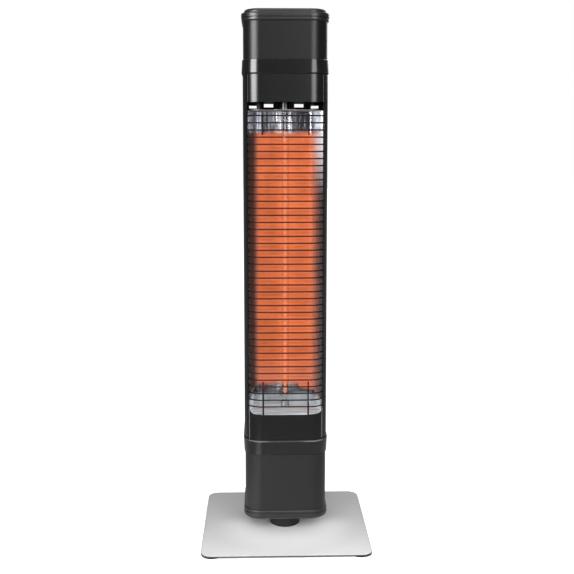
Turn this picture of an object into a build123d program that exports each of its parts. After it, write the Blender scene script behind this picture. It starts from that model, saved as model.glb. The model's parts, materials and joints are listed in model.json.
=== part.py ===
"""Infrared patio heater tower that turns on a square floor plate.

Millimetres. +Z is up, the grille faces -Y, and the origin is on the floor at the plate's centre.
The pieces are stacked from the floor up: plate, neck, lower rim, lower housing, lower collar,
heating section, upper collar, upper housing, top rim and lid.
"""

from build123d import *
from math import cos, radians, sin
import os

os.makedirs("parts", exist_ok=True)

# ---------------------------------------------------------------- driving dimensions
# Floor plate and its rubber feet
plate_side = 300.0
plate_thickness = 2.5
plate_corner_radius = 20.0
plate_chamfer = 0.6
foot_height = 2.5
foot_radius = 19.6
foot_inset = 20.0

# Heights of the stack
neck_height = 35.0
lower_rim_height = 16.0
lower_housing_height = 103.5
lower_collar_height = 26.5
heating_height = 644.0
upper_collar_height = 23.0
upper_housing_height = 63.4
top_rim_height = 14.6
lid_height = 6.0

# Rounded-square sections
housing_width = 145.0
housing_radius = 30.0
housing_wall = 2.5
sheet_wall = 1.5
heating_step = 1.0
collar_narrow_step = 1.7
collar_wide_step = 3.0
collar_edge = 0.6
rim_step = 3.0
lid_step = 2.0

# Clearances
fit_gap = 0.3
close_fit = 0.05
seam_gap = 0.7
spigot_wall = 4.0
spigot_height = 9.0

# Rims: an outer bead, a groove and an inner bead next to the housing
groove_height = 1.2
groove_depth = 1.6
inner_bead_height = 5.2
inner_bead_inset = 0.5
lower_rim_fillet = 4.0
top_rim_fillet = 2.6
bead_fillet = 1.0
cap_floor = 3.0

# Window, grille and front panels
side_bar_width = 8.1
panel_depth = 22.0
window_bottom_rise = 47.0
window_top_drop = 48.5
window_corner_radius = 11.0
window_horn = 1.2
wire_radius = 1.1
wire_count = 43
first_wire_rise = 14.0
last_wire_drop = 23.0
grille_inset = 3.7
grille_end_angle = 80.0
rod_radius = 1.5
rod_x = 40.0
weld_depth = 0.5
rod_below_window = 16.0
rod_above_wires = 3.0
rod_wires = 5
rod_past_wires = 6.0

# Reflector and lamp
reflector_sheet = 1.0
reflector_front_inset = 9.5
reflector_flare = 9.5
reflector_bend_radius = 12.0
rear_duct_depth = 45.5
vent_chamber_height = 16.5
lamp_standoff = 40.5
lamp_radius = 6.0
lamp_wall = 1.1
lamp_cap_radius = 8.0
lamp_cap_length = 16.0
lamp_cap_overlap = 7.0
lamp_cap_below = 3.0
lamp_lead_radius = 1.0
lamp_lead_socket = 5.0
cold_length_bottom = 14.0
cold_length_top = 40.0
filament_radius = 3.2
filament_ferrule_radius = 4.0
filament_ferrule_length = 8.0
bracket_width = 42.0
bracket_depth = 30.0
bracket_sheet = 1.5
deck_above_window = 3.5
deck_sheet = 1.5
deck_flange = 9.0
deck_grommet_x = 24.0
deck_grommet_radius = 8.0
cutout_radius = 8.0
cutout_height = 9.0
cutout_inset = 27.0
cutout_flange_overhang = 8.0
cutout_tab_width = 4.0

# Vent slots through the rear of the heating section, as (x, width, height, drop below the deck)
vent_slots = [(28.0, 17.0, 6.0, 5.3), (57.0, 13.5, 4.6, 8.1)]
rear_vent_width = 60.0
rear_vent_height = 4.0
rear_vent_pitch = 11.0
rear_vent_count = 6
rear_vent_rise = 90.0

# Swivel
neck_radius = 28.0
neck_fillet = 2.0
neck_wall = 3.5
neck_core_wall = 5.0
neck_roof = 8.0
spindle_radius = 10.0
spindle_bore = 4.0
spindle_flange_height = 4.0
spindle_thread_length = 13.0
washer_thickness = 1.5
washer_inset = 1.0
bearing_play = 0.2
bush_wall = 2.5
bush_flange_radius = 15.5
bush_flange_height = 1.5
hub_radius = 17.5
hub_height = 20.0
spring_washer_radius = 16.0
spring_washer_height = 2.0
nut_across_flats = 30.0
nut_height = 8.0
swivel_limit = 45.0
stop_pin_radius = 2.5
stop_pin_clearance = 4.0
stop_pin_depth = 6.0
stop_pin_rise = 3.0
neck_screw_radius = 2.0
neck_screw_head = 4.0
neck_screw_count = 4
neck_screw_length = 6.0

# Rear fasteners of the housings
rear_screw_x = 34.0
rear_screw_radius = 1.5
rear_screw_head_radius = 3.2
rear_screw_head_height = 1.8
rear_screw_length = 7.0

# Collar webs
web_thickness = 3.0
web_hole_radius = 16.0

# Lower electrics
gland_rise = 24.0
gland_thread_radius = 8.0
gland_hex_flats = 19.0
gland_hex_height = 5.0
gland_dome_height = 11.0
gland_bore = 3.9
gland_inside_length = 16.0
gland_nut_height = 5.0
switch_rise = 68.0
switch_side_wall = 2.1
switch_end_wall = 1.0
switch_bezel = 2.0
switch_bezel_height = 1.6
switch_depth = 22.0
well_depth = 8.5
rocker_width = 8.2
rocker_radius = 8.0
rocker_tilt = 9.0
rocker_face_centre = 3.2
rocker_face_end = 4.4
rocker_back = 3.6
rocker_pivot_depth = 2.2
rocker_end_gap = 0.5
rocker_pin_radius = 1.2
rocker_pin_length = 1.2
terminal_width = 46.0
terminal_height = 22.0
terminal_depth = 14.0
terminal_poles = 4
terminal_rise = 62.0
chassis_width = 74.0
chassis_height = 92.0
chassis_foot = 22.0
chassis_setback = 40.0
chassis_sheet = 1.6
chassis_screw_length = 4.0
tilt_switch_width = 16.0
tilt_switch_height = 24.0
tilt_switch_depth = 12.0
tilt_switch_x = 24.0
tilt_switch_rise = 26.0

# Power board above the upper collar
board_thickness = 1.6
power_board_width = 92.0
power_board_depth = 70.0
power_board_y = -12.0
standoff_height = 5.0
standoff_radius = 3.0
relay_length = 28.0
relay_width = 12.0
relay_height = 16.0
relay_pitch = 18.0
heat_sink_fins = 7
heat_sink_fin = 1.6
heat_sink_pitch = 5.0
heat_sink_height = 22.0
heat_sink_depth = 24.0
heat_sink_base = 3.0

# Loudspeaker behind the rear wall of the upper housing
speaker_margin = 0.7
speaker_rim = 1.5
speaker_flange_sheet = 2.0
speaker_cone_inner = 6.5
speaker_cone_depth = 9.0
speaker_cone_sheet = 0.8
speaker_basket_depth = 17.0
speaker_basket_wall = 2.2
speaker_magnet_radius = 14.0
speaker_magnet_depth = 11.0
speaker_hole_radius = 1.5
speaker_hole_pitch = 4.6
speaker_hole_rings = 3
speaker_screw_inset = 4.5
speaker_screw_length = 4.0

# Lid, fascia and buttons
lid_roof = 4.0
lid_edge_fillet = 4.6
lid_skirt = 7.0
lid_skirt_wall = 2.4
fascia_width = 100.0
fascia_depth = 34.0
fascia_corner = 6.0
fascia_recess = 2.2
fascia_sheet = 1.0
fascia_setback = 40.5
button_names = ["power", "heat_down", "heat_up", "timer", "sound"]
button_pitch = 17.0
button_offset = -4.0
button_radius = 5.8
button_crown = 1.0
button_travel = 1.0
button_flange_radius = 7.2
button_flange_height = 1.5
button_stem_radius = 2.0
button_stem_length = 6.0
button_rest_gap = 0.3
tact_side = 6.2
tact_height = 3.6
tact_plunger_radius = 1.7
tact_plunger_height = 0.9
tact_approach = 0.3
lens_width = 30.0
lens_depth = 3.4
lens_offset = 10.5
lens_crown = 0.1
control_board_width = 104.0
control_board_depth = 36.0
post_radius = 3.2
post_inset = 6.0
board_screw_radius = 1.4
board_screw_head = 2.8
board_screw_head_height = 1.6
board_screw_length = 6.0

# ---------------------------------------------------------------- derived levels
plate_top = foot_height + plate_thickness
tower_bottom = plate_top + neck_height
lower_housing_bottom = tower_bottom + lower_rim_height
lower_collar_bottom = lower_housing_bottom + lower_housing_height
heating_bottom = lower_collar_bottom + lower_collar_height
heating_top = heating_bottom + heating_height
upper_housing_bottom = heating_top + upper_collar_height
top_rim_bottom = upper_housing_bottom + upper_housing_height
lid_bottom = top_rim_bottom + top_rim_height
tower_top = lid_bottom + lid_height

heating_width = housing_width + 2 * heating_step
heating_radius = housing_radius + heating_step
collar_narrow_width = housing_width + 2 * collar_narrow_step
collar_wide_width = housing_width + 2 * collar_wide_step
rim_width = housing_width + 2 * rim_step
rim_radius = housing_radius + rim_step
lid_width = housing_width - 2 * lid_step
lid_radius = housing_radius - lid_step
housing_face = housing_width / 2
housing_inside = housing_width - 2 * housing_wall
heating_face = heating_width / 2
heating_inside = heating_width - 2 * sheet_wall
heating_inside_radius = heating_radius - sheet_wall
housing_spigot = housing_inside - 2 * fit_gap
housing_spigot_radius = housing_radius - housing_wall - fit_gap
heating_spigot = heating_inside - 2 * fit_gap
heating_spigot_radius = heating_inside_radius - fit_gap

window_bottom = heating_bottom + window_bottom_rise
window_top = heating_top - window_top_drop
first_wire = window_bottom + first_wire_rise
last_wire = window_top - last_wire_drop
wire_pitch = (last_wire - first_wire) / (wire_count - 1)
panel_half_width = heating_face - side_bar_width
bend_centre = heating_face - heating_radius
wire_bend_radius = heating_radius - grille_inset
rod_setback = wire_radius + rod_radius - weld_depth
rod_face_y = -(heating_face - grille_inset - rod_setback)
edge_rod_orbit = wire_bend_radius - rod_setback
edge_rod_angle = grille_end_angle - 2.0
edge_rod_x = bend_centre + edge_rod_orbit * sin(radians(edge_rod_angle))
edge_rod_y = -bend_centre - edge_rod_orbit * cos(radians(edge_rod_angle))
chamber_face = -rod_face_y - rod_radius - fit_gap
chamber_radius = heating_radius - (heating_face - chamber_face)

reflector_front_y = edge_rod_y + rod_radius + fit_gap
reflector_front_half = heating_inside / 2 - reflector_front_inset
reflector_back_half = reflector_front_half - reflector_flare
reflector_back_y = heating_inside / 2 - rear_duct_depth
deck_level = window_top + deck_above_window
reflector_bottom = window_bottom
reflector_top = deck_level - vent_chamber_height - reflector_sheet
reflector_flange_x = heating_inside / 2 - fit_gap
cutout_y = heating_inside / 2 - cutout_inset
lamp_y = reflector_back_y - lamp_standoff
lamp_bottom_cap = reflector_bottom - reflector_sheet - bracket_sheet - lamp_cap_below
lamp_top_cap = deck_level - fit_gap
lamp_bottom = lamp_bottom_cap + lamp_cap_length - lamp_cap_overlap
lamp_top = lamp_top_cap - lamp_cap_length + lamp_cap_overlap
cap_hole_radius = lamp_cap_radius + fit_gap

neck_pocket_outer = neck_radius - neck_wall
neck_pocket_inner = spindle_radius + neck_core_wall
spindle_flange_radius = neck_pocket_outer - fit_gap
neck_screw_orbit = (spindle_radius + neck_pocket_outer) / 2
stop_pin_orbit = hub_radius + stop_pin_clearance
spindle_flange_top = plate_top + spindle_flange_height
neck_top = tower_bottom - bearing_play - washer_thickness
cap_floor_top = tower_bottom + cap_floor
hub_top = tower_bottom + hub_height
bush_top = hub_top + bush_flange_height
spring_washer_bottom = bush_top + bearing_play
nut_bottom = spring_washer_bottom + spring_washer_height
spindle_top = nut_bottom + spindle_thread_length
bush_bore = spindle_radius + close_fit
bush_outer = bush_bore + bush_wall

lower_web = lower_collar_bottom + lower_collar_height / 2
upper_web = heating_top + upper_collar_height / 2
gland_level = lower_housing_bottom + gland_rise
switch_level = lower_housing_bottom + switch_rise
switch_width = rocker_width + 2 * (fit_gap + switch_side_wall + switch_bezel)
switch_length = 2 * (rocker_radius + rocker_end_gap + switch_end_wall + switch_bezel)
housing_back_inside = housing_inside / 2
chassis_bottom = cap_floor_top
chassis_y = housing_back_inside - chassis_setback
terminal_level = lower_housing_bottom + terminal_rise
tilt_switch_level = lower_housing_bottom + tilt_switch_rise
rocker_pivot_y = housing_face - rocker_pivot_depth

power_board_bottom = upper_web + web_thickness / 2 + standoff_height
speaker_level = upper_housing_bottom + upper_housing_height / 2
speaker_flange = upper_housing_height - 2 * (spigot_height + speaker_margin)
speaker_radius = speaker_flange / 2 - speaker_rim
speaker_cone_outer = speaker_radius - speaker_flange_sheet - speaker_basket_wall - fit_gap

lid_roof_bottom = tower_top - lid_roof
fascia_bottom = tower_top - fascia_recess
fascia_top = fascia_bottom + fascia_sheet
button_top = fascia_top + button_crown
button_flange_top = lid_roof_bottom - button_rest_gap
button_flange_bottom = button_flange_top - button_flange_height
button_stem_bottom = button_flange_bottom - button_stem_length
tact_top = button_stem_bottom - button_travel - tact_approach
control_board_top = tact_top - tact_plunger_height - tact_height
button_hole_radius = button_radius + fit_gap
fascia_y = fascia_setback - lid_width / 2
button_y = fascia_y + button_offset
lens_y = fascia_y + lens_offset
post_x = control_board_width / 2 - post_inset
post_y = control_board_depth / 2 - post_inset
button_xs = [(index - (len(button_names) - 1) / 2) * button_pitch for index in range(len(button_names))]
board_post_points = [(x, fascia_y + y) for x in (-post_x, post_x) for y in (-post_y, post_y)]

rear_screw_offset = spigot_height / 2
rim_screw_level = lower_housing_bottom + rear_screw_offset
lower_collar_screws = (lower_collar_bottom - rear_screw_offset, heating_bottom + rear_screw_offset)
upper_collar_screws = (heating_top - rear_screw_offset, upper_housing_bottom + rear_screw_offset)
top_screw_level = top_rim_bottom - rear_screw_offset
deck_screw_level = deck_level + deck_flange / 2


# ---------------------------------------------------------------- shared shapes
def rounded_square(width, radius, mode=Mode.ADD):
    """Draw one rounded square in the current sketch."""
    RectangleRounded(width, width, radius, mode=mode)


def square_ring(width, radius, wall):
    """Draw a rounded-square ring in the current sketch."""
    rounded_square(width, radius)
    rounded_square(width - 2 * wall, radius - wall, mode=Mode.SUBTRACT)


def rear_plane(face_y):
    """A plane on the rear face at +Y: its x is +X, its y is +Z, and its normal points forward."""
    return Plane.XZ.offset(-face_y)


def drill_rear(level, face_y, depth, radius):
    """Cut the pair of screw holes that enter from the rear at one level."""
    with BuildSketch(rear_plane(face_y)) as holes:
        with Locations((-rear_screw_x, level), (rear_screw_x, level)):
            Circle(radius)
    extrude(holes.sketch, amount=depth, mode=Mode.SUBTRACT)


def outer_edges(part, level, width):
    """The edges round the outside of a level face, told from the inner ones by their reach."""
    reach = width / 2 - 0.01
    at_level = part.edges().filter_by(lambda edge: abs(edge.center().Z - level) < 0.01)
    flat = at_level.filter_by(lambda edge: edge.bounding_box().size.Z < 0.01)
    return flat.filter_by(lambda edge: max(abs(edge.position_at(0).X), abs(edge.position_at(0).Y)) > reach)


def rim_beads(end_level, inward, outer_height, end_fillet):
    """Stack a rim's outer bead, groove core and inner bead from its free end inwards."""
    def bead(start, height, width, radius):
        with BuildSketch(Plane.XY.offset(start)) as outline:
            rounded_square(width, radius)
        extrude(outline.sketch, amount=inward * height)

    inset_width = rim_width - 2 * inner_bead_inset
    groove_start = end_level + inward * outer_height
    inner_start = groove_start + inward * groove_height
    inner_end = inner_start + inward * inner_bead_height
    bead(end_level, outer_height, rim_width, rim_radius)
    rim = BuildPart._get_context().part
    fillet(outer_edges(rim, end_level, rim_width), end_fillet)
    rim = BuildPart._get_context().part
    fillet(outer_edges(rim, groove_start, rim_width), bead_fillet)
    bead(groove_start, groove_height, rim_width - 2 * groove_depth, rim_radius - groove_depth)
    bead(inner_start, inner_bead_height, inset_width, rim_radius - inner_bead_inset)
    rim = BuildPart._get_context().part
    fillet(outer_edges(rim, inner_end, inset_width), inner_bead_height / 2)


def collar_shell(bottom, height, bottom_width, top_width):
    """A hollow collar between two levels with a web across its middle, open to the wiring."""
    with BuildSketch(Plane.XY.offset(bottom)) as lower_outline:
        rounded_square(bottom_width, heating_radius + (bottom_width - heating_width) / 2)
    with BuildSketch(Plane.XY.offset(bottom + height)) as upper_outline:
        rounded_square(top_width, heating_radius + (top_width - heating_width) / 2)
    loft([lower_outline.sketch.face(), upper_outline.sketch.face()], ruled=True)
    for level, width in ((bottom, bottom_width), (bottom + height, top_width)):
        chamfer(outer_edges(BuildPart._get_context().part, level, width), collar_edge)
    with BuildSketch(Plane.XY.offset(bottom)) as bore:
        rounded_square(housing_spigot - 2 * spigot_wall, housing_spigot_radius - spigot_wall)
    extrude(bore.sketch, amount=height, mode=Mode.SUBTRACT)
    with BuildSketch(Plane.XY.offset(bottom + height / 2 - web_thickness / 2)) as web:
        rounded_square(housing_spigot, housing_spigot_radius)
        Circle(web_hole_radius, mode=Mode.SUBTRACT)
    extrude(web.sketch, amount=web_thickness)


def spigot(level, direction, width, radius):
    """A plug ring that stands from a level in one direction, for a housing to slide over."""
    with BuildSketch(Plane.XY.offset(level)) as ring:
        square_ring(width, radius, spigot_wall)
    extrude(ring.sketch, amount=direction * spigot_height)


# ---------------------------------------------------------------- floor plate and swivel
with BuildPart() as base_plate:
    with BuildSketch(Plane.XY.offset(foot_height)):
        rounded_square(plate_side, plate_corner_radius)
    extrude(amount=plate_thickness)
    chamfer(base_plate.faces().sort_by(Axis.Z)[-1].edges(), plate_chamfer)
    with Locations(Plane((0, 0, foot_height), z_dir=(0, 0, -1))):
        with PolarLocations(neck_screw_orbit, neck_screw_count, start_angle=45):
            CounterSinkHole(neck_screw_radius + close_fit, neck_screw_head + close_fit)
base_plate.part.label = "base_plate"
export_step(base_plate.part, "parts/base_plate.step")

with BuildPart() as base_feet:
    foot_spacing = plate_side - 2 * foot_inset
    with BuildSketch(Plane.XY):
        with GridLocations(foot_spacing, foot_spacing, 2, 2):
            Circle(foot_radius)
    extrude(amount=foot_height)
    chamfer(base_feet.faces().sort_by(Axis.Z)[:4].edges(), foot_height / 4)
base_feet.part.label = "base_feet"
export_step(base_feet.part, "parts/base_feet.step")

with BuildPart() as swivel_spindle:
    with BuildSketch(Plane.XZ):
        with BuildLine():
            Polyline(
                (spindle_bore, plate_top),
                (spindle_flange_radius, plate_top),
                (spindle_flange_radius, spindle_flange_top),
                (spindle_radius, spindle_flange_top),
                (spindle_radius, spindle_top),
                (spindle_bore, spindle_top),
                close=True,
            )
        make_face()
    revolve(axis=Axis.Z)
    with Locations((0, 0, spindle_flange_top)):
        with PolarLocations(neck_screw_orbit, neck_screw_count, start_angle=45):
            Hole(neck_screw_radius + close_fit, depth=spindle_flange_height)
swivel_spindle.part.label = "swivel_spindle"
export_step(swivel_spindle.part, "parts/swivel_spindle.step")

with BuildPart() as neck_screws:
    for angle in [45 + index * 360 / neck_screw_count for index in range(neck_screw_count)]:
        spot = (neck_screw_orbit * cos(radians(angle)), neck_screw_orbit * sin(radians(angle)))
        with BuildSketch(Plane.XY.offset(foot_height)):
            with Locations(spot):
                Circle(neck_screw_radius)
        extrude(amount=neck_screw_length)
        with Locations((spot[0], spot[1], foot_height)):
            Cone(
                neck_screw_head,
                neck_screw_radius,
                neck_screw_head - neck_screw_radius,
                align=(Align.CENTER, Align.CENTER, Align.MIN),
            )
neck_screws.part.label = "neck_screws"
export_step(neck_screws.part, "parts/neck_screws.step")

with BuildPart() as swivel_neck:
    with BuildSketch(Plane.XZ):
        with BuildLine():
            Polyline(
                (spindle_radius + close_fit, spindle_flange_top + fit_gap),
                (spindle_flange_radius + fit_gap, spindle_flange_top + fit_gap),
                (spindle_flange_radius + fit_gap, plate_top),
                (neck_radius, plate_top),
                (neck_radius, neck_top),
                (spindle_radius + close_fit, neck_top),
                close=True,
            )
        make_face()
    revolve(axis=Axis.Z)
    outer_rims = swivel_neck.edges().filter_by(GeomType.CIRCLE).group_by(SortBy.RADIUS)[-1]
    fillet(outer_rims.sort_by(Axis.Z)[0], neck_fillet)
    pocket_bottom = spindle_flange_top + fit_gap
    with BuildSketch(Plane.XY.offset(pocket_bottom)):
        Circle(neck_pocket_outer)
        Circle(neck_pocket_inner, mode=Mode.SUBTRACT)
    extrude(amount=neck_top - neck_roof - pocket_bottom, mode=Mode.SUBTRACT)
    with Locations((0, -stop_pin_orbit, neck_top)):
        Hole(stop_pin_radius + close_fit, depth=stop_pin_depth)
swivel_neck.part.label = "swivel_neck"
export_step(swivel_neck.part, "parts/swivel_neck.step")

with BuildPart() as thrust_washer:
    with BuildSketch(Plane.XY.offset(neck_top)):
        Circle(neck_radius - washer_inset)
        Circle(spindle_radius + close_fit, mode=Mode.SUBTRACT)
        with Locations((0, -stop_pin_orbit)):
            Circle(stop_pin_radius + close_fit, mode=Mode.SUBTRACT)
    extrude(amount=washer_thickness)
thrust_washer.part.label = "thrust_washer"
export_step(thrust_washer.part, "parts/thrust_washer.step")

with BuildPart() as stop_pin:
    with BuildSketch(Plane.XY.offset(neck_top - stop_pin_depth)):
        with Locations((0, -stop_pin_orbit)):
            Circle(stop_pin_radius)
    extrude(amount=cap_floor_top + stop_pin_rise - neck_top + stop_pin_depth)
    chamfer(stop_pin.faces().sort_by(Axis.Z)[-1].edges(), stop_pin_radius / 5)
stop_pin.part.label = "stop_pin"
export_step(stop_pin.part, "parts/stop_pin.step")

with BuildPart() as spring_washer:
    with BuildSketch(Plane.XY.offset(spring_washer_bottom)):
        Circle(spring_washer_radius)
        Circle(spindle_radius + close_fit, mode=Mode.SUBTRACT)
    extrude(amount=spring_washer_height)
spring_washer.part.label = "spring_washer"
export_step(spring_washer.part, "parts/spring_washer.step")

with BuildPart() as retaining_nut:
    with BuildSketch(Plane.XY.offset(nut_bottom)):
        RegularPolygon(nut_across_flats / 2, 6, major_radius=False)
        Circle(spindle_radius + close_fit, mode=Mode.SUBTRACT)
    extrude(amount=nut_height)
retaining_nut.part.label = "retaining_nut"
export_step(retaining_nut.part, "parts/retaining_nut.step")

# ---------------------------------------------------------------- lower tower
with BuildPart() as lower_end_cap:
    rim_beads(tower_bottom, 1, lower_rim_height - groove_height - inner_bead_height, lower_rim_fillet)
    with BuildSketch(Plane.XY.offset(cap_floor_top)):
        rounded_square(housing_spigot - 2 * spigot_wall, housing_spigot_radius - spigot_wall)
        Circle(hub_radius, mode=Mode.SUBTRACT)
    extrude(amount=lower_rim_height, mode=Mode.SUBTRACT)
    spigot(lower_housing_bottom, 1, housing_spigot, housing_spigot_radius)
    with BuildSketch(Plane.XY.offset(tower_bottom)):
        Circle(hub_radius)
    extrude(amount=hub_height)
    with BuildSketch(Plane.XY.offset(tower_bottom)):
        Circle(bush_outer + close_fit)
        pin_path = Edge.make_circle(
            stop_pin_orbit,
            start_angle=-90 - swivel_limit,
            end_angle=-90 + swivel_limit,
        )
        SlotArc(pin_path, 2 * (stop_pin_radius + fit_gap))
        with Locations((0, chassis_y + chassis_foot / 2)):
            with GridLocations(chassis_width / 2, 1, 2, 1):
                Circle(rear_screw_radius + close_fit)
    extrude(amount=hub_height, mode=Mode.SUBTRACT)
    drill_rear(rim_screw_level, housing_spigot / 2, spigot_wall, rear_screw_radius + close_fit)
lower_end_cap.part.label = "lower_end_cap"
export_step(lower_end_cap.part, "parts/lower_end_cap.step")

with BuildPart() as swivel_bush:
    with BuildSketch(Plane.XZ):
        with BuildLine():
            Polyline(
                (bush_bore, tower_bottom),
                (bush_outer, tower_bottom),
                (bush_outer, hub_top),
                (bush_flange_radius, hub_top),
                (bush_flange_radius, bush_top),
                (bush_bore, bush_top),
                close=True,
            )
        make_face()
    revolve(axis=Axis.Z)
swivel_bush.part.label = "swivel_bush"
export_step(swivel_bush.part, "parts/swivel_bush.step")

with BuildPart() as lower_housing:
    with BuildSketch(Plane.XY.offset(lower_housing_bottom)):
        square_ring(housing_width, housing_radius, housing_wall)
    extrude(amount=lower_housing_height)
    with BuildSketch(rear_plane(housing_face)):
        with Locations((0, gland_level)):
            Circle(gland_thread_radius + fit_gap)
        with Locations((0, switch_level)):
            Rectangle(
                switch_width - 2 * (switch_bezel - fit_gap),
                switch_length - 2 * (switch_bezel - fit_gap),
            )
    extrude(amount=housing_wall, mode=Mode.SUBTRACT)
    drill_rear(rim_screw_level, housing_face, housing_wall, rear_screw_radius + close_fit)
    drill_rear(lower_collar_screws[0], housing_face, housing_wall, rear_screw_radius + close_fit)
lower_housing.part.label = "lower_housing"
export_step(lower_housing.part, "parts/lower_housing.step")

with BuildPart() as lower_collar:
    collar_shell(lower_collar_bottom, lower_collar_height, collar_narrow_width, collar_wide_width)
    spigot(lower_collar_bottom, -1, housing_spigot, housing_spigot_radius)
    spigot(heating_bottom, 1, heating_spigot, heating_spigot_radius)
    drill_rear(lower_collar_screws[0], housing_spigot / 2, spigot_wall, rear_screw_radius + close_fit)
    drill_rear(lower_collar_screws[1], heating_spigot / 2, spigot_wall, rear_screw_radius + close_fit)
lower_collar.part.label = "lower_collar"
export_step(lower_collar.part, "parts/lower_collar.step")

with BuildPart() as cable_gland:
    with BuildSketch(rear_plane(housing_face + gland_hex_height)):
        with Locations((0, gland_level)):
            RegularPolygon(gland_hex_flats / 2, 6, major_radius=False)
    extrude(amount=gland_hex_height)
    with BuildSketch(rear_plane(housing_face)):
        with Locations((0, gland_level)):
            Circle(gland_thread_radius)
    extrude(amount=gland_inside_length)
    with BuildSketch(rear_plane(housing_face + gland_hex_height)):
        with Locations((0, gland_level)):
            Circle(gland_thread_radius)
    extrude(amount=-gland_dome_height)
    fillet(cable_gland.faces().sort_by(Axis.Y)[-1].edges(), gland_thread_radius / 3)
    with BuildSketch(rear_plane(housing_face + gland_hex_height + gland_dome_height)):
        with Locations((0, gland_level)):
            Circle(gland_bore)
    extrude(amount=gland_dome_height + gland_hex_height + gland_inside_length, mode=Mode.SUBTRACT)
cable_gland.part.label = "cable_gland"
export_step(cable_gland.part, "parts/cable_gland.step")

with BuildPart() as gland_nut:
    with BuildSketch(rear_plane(housing_back_inside)):
        with Locations((0, gland_level)):
            RegularPolygon(gland_hex_flats / 2, 6, major_radius=False)
            Circle(gland_thread_radius + close_fit, mode=Mode.SUBTRACT)
    extrude(amount=gland_nut_height)
gland_nut.part.label = "gland_nut"
export_step(gland_nut.part, "parts/gland_nut.step")

with BuildPart() as switch_body:
    with BuildSketch(rear_plane(housing_face + switch_bezel_height)):
        with Locations((0, switch_level)):
            RectangleRounded(switch_width, switch_length, switch_bezel)
    extrude(amount=switch_bezel_height)
    with BuildSketch(rear_plane(housing_face)):
        with Locations((0, switch_level)):
            Rectangle(switch_width - 2 * switch_bezel, switch_length - 2 * switch_bezel)
    extrude(amount=switch_depth)
    with BuildSketch(rear_plane(housing_face + switch_bezel_height)):
        with Locations((0, switch_level)):
            Rectangle(rocker_width + 2 * fit_gap, 2 * (rocker_radius + rocker_end_gap))
    extrude(amount=switch_bezel_height + well_depth, mode=Mode.SUBTRACT)
    with Locations((0, rocker_pivot_y, switch_level)):
        Cylinder(
            rocker_pin_radius + close_fit,
            rocker_width + 2 * rocker_pin_length + fit_gap,
            rotation=(0, 90, 0),
            mode=Mode.SUBTRACT,
        )
switch_body.part.label = "switch_body"
export_step(switch_body.part, "parts/switch_body.step")

with BuildPart() as power_rocker:
    pivot_plane = Plane(
        origin=(-rocker_width / 2, rocker_pivot_y, switch_level),
        x_dir=(0, cos(radians(rocker_tilt)), -sin(radians(rocker_tilt))),
        z_dir=(1, 0, 0),
    )
    with BuildSketch(pivot_plane):
        Circle(rocker_radius)
        reach = 2 * rocker_radius
        with BuildLine():
            slope = (rocker_face_end - rocker_face_centre) / rocker_radius
            Polyline(
                (-rocker_back, -reach),
                (rocker_face_centre + slope * reach, -reach),
                (rocker_face_centre, 0),
                (rocker_face_centre + slope * reach, reach),
                (-rocker_back, reach),
                close=True,
            )
        make_face(mode=Mode.INTERSECT)
    extrude(amount=rocker_width)
    with Locations((0, rocker_pivot_y, switch_level)):
        Cylinder(rocker_pin_radius, rocker_width + 2 * rocker_pin_length, rotation=(0, 90, 0))
power_rocker.part.label = "power_rocker"
export_step(power_rocker.part, "parts/power_rocker.step")

with BuildPart() as chassis_bracket:
    with BuildSketch(Plane.XY.offset(chassis_bottom)):
        with Locations((0, chassis_y)):
            Rectangle(chassis_width, chassis_foot, align=(Align.CENTER, Align.MIN))
    extrude(amount=chassis_sheet)
    with BuildSketch(Plane.XY.offset(chassis_bottom)):
        with Locations((0, chassis_y)):
            Rectangle(chassis_width, chassis_sheet, align=(Align.CENTER, Align.MIN))
    extrude(amount=chassis_height)
    with Locations((0, chassis_y + chassis_foot / 2, chassis_bottom + chassis_sheet)):
        with GridLocations(chassis_width / 2, 1, 2, 1):
            Hole(rear_screw_radius + close_fit, depth=chassis_sheet)
chassis_bracket.part.label = "chassis_bracket"
export_step(chassis_bracket.part, "parts/chassis_bracket.step")

with BuildPart() as chassis_screws:
    with Locations((0, chassis_y + chassis_foot / 2, chassis_bottom + chassis_sheet)):
        with GridLocations(chassis_width / 2, 1, 2, 1):
            Cylinder(
                rear_screw_radius,
                chassis_screw_length,
                align=(Align.CENTER, Align.CENTER, Align.MAX),
            )
            Cylinder(
                rear_screw_head_radius,
                rear_screw_head_height,
                align=(Align.CENTER, Align.CENTER, Align.MIN),
            )
chassis_screws.part.label = "chassis_screws"
export_step(chassis_screws.part, "parts/chassis_screws.step")

with BuildPart() as terminal_block:
    with Locations((0, chassis_y, terminal_level)):
        Box(terminal_width, terminal_depth, terminal_height, align=(Align.CENTER, Align.MAX, Align.CENTER))
    pole_pitch = terminal_width / terminal_poles
    with Locations(Plane((0, chassis_y - terminal_depth, terminal_level), x_dir=(1, 0, 0), z_dir=(0, -1, 0))):
        with GridLocations(pole_pitch, terminal_height / 2, terminal_poles, 2):
            Hole(pole_pitch / 4, depth=terminal_depth / 2)
        with GridLocations(pole_pitch, 1, terminal_poles - 1, 1):
            Box(fit_gap * 3, terminal_height, terminal_depth / 2, mode=Mode.SUBTRACT)
terminal_block.part.label = "terminal_block"
export_step(terminal_block.part, "parts/terminal_block.step")

with BuildPart() as tilt_switch:
    with Locations((tilt_switch_x, chassis_y, tilt_switch_level)):
        Box(
            tilt_switch_width,
            tilt_switch_depth,
            tilt_switch_height,
            align=(Align.CENTER, Align.MAX, Align.CENTER),
        )
    fillet(tilt_switch.edges().filter_by(Axis.Y), tilt_switch_depth / 6)
tilt_switch.part.label = "tilt_switch"
export_step(tilt_switch.part, "parts/tilt_switch.step")

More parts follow.
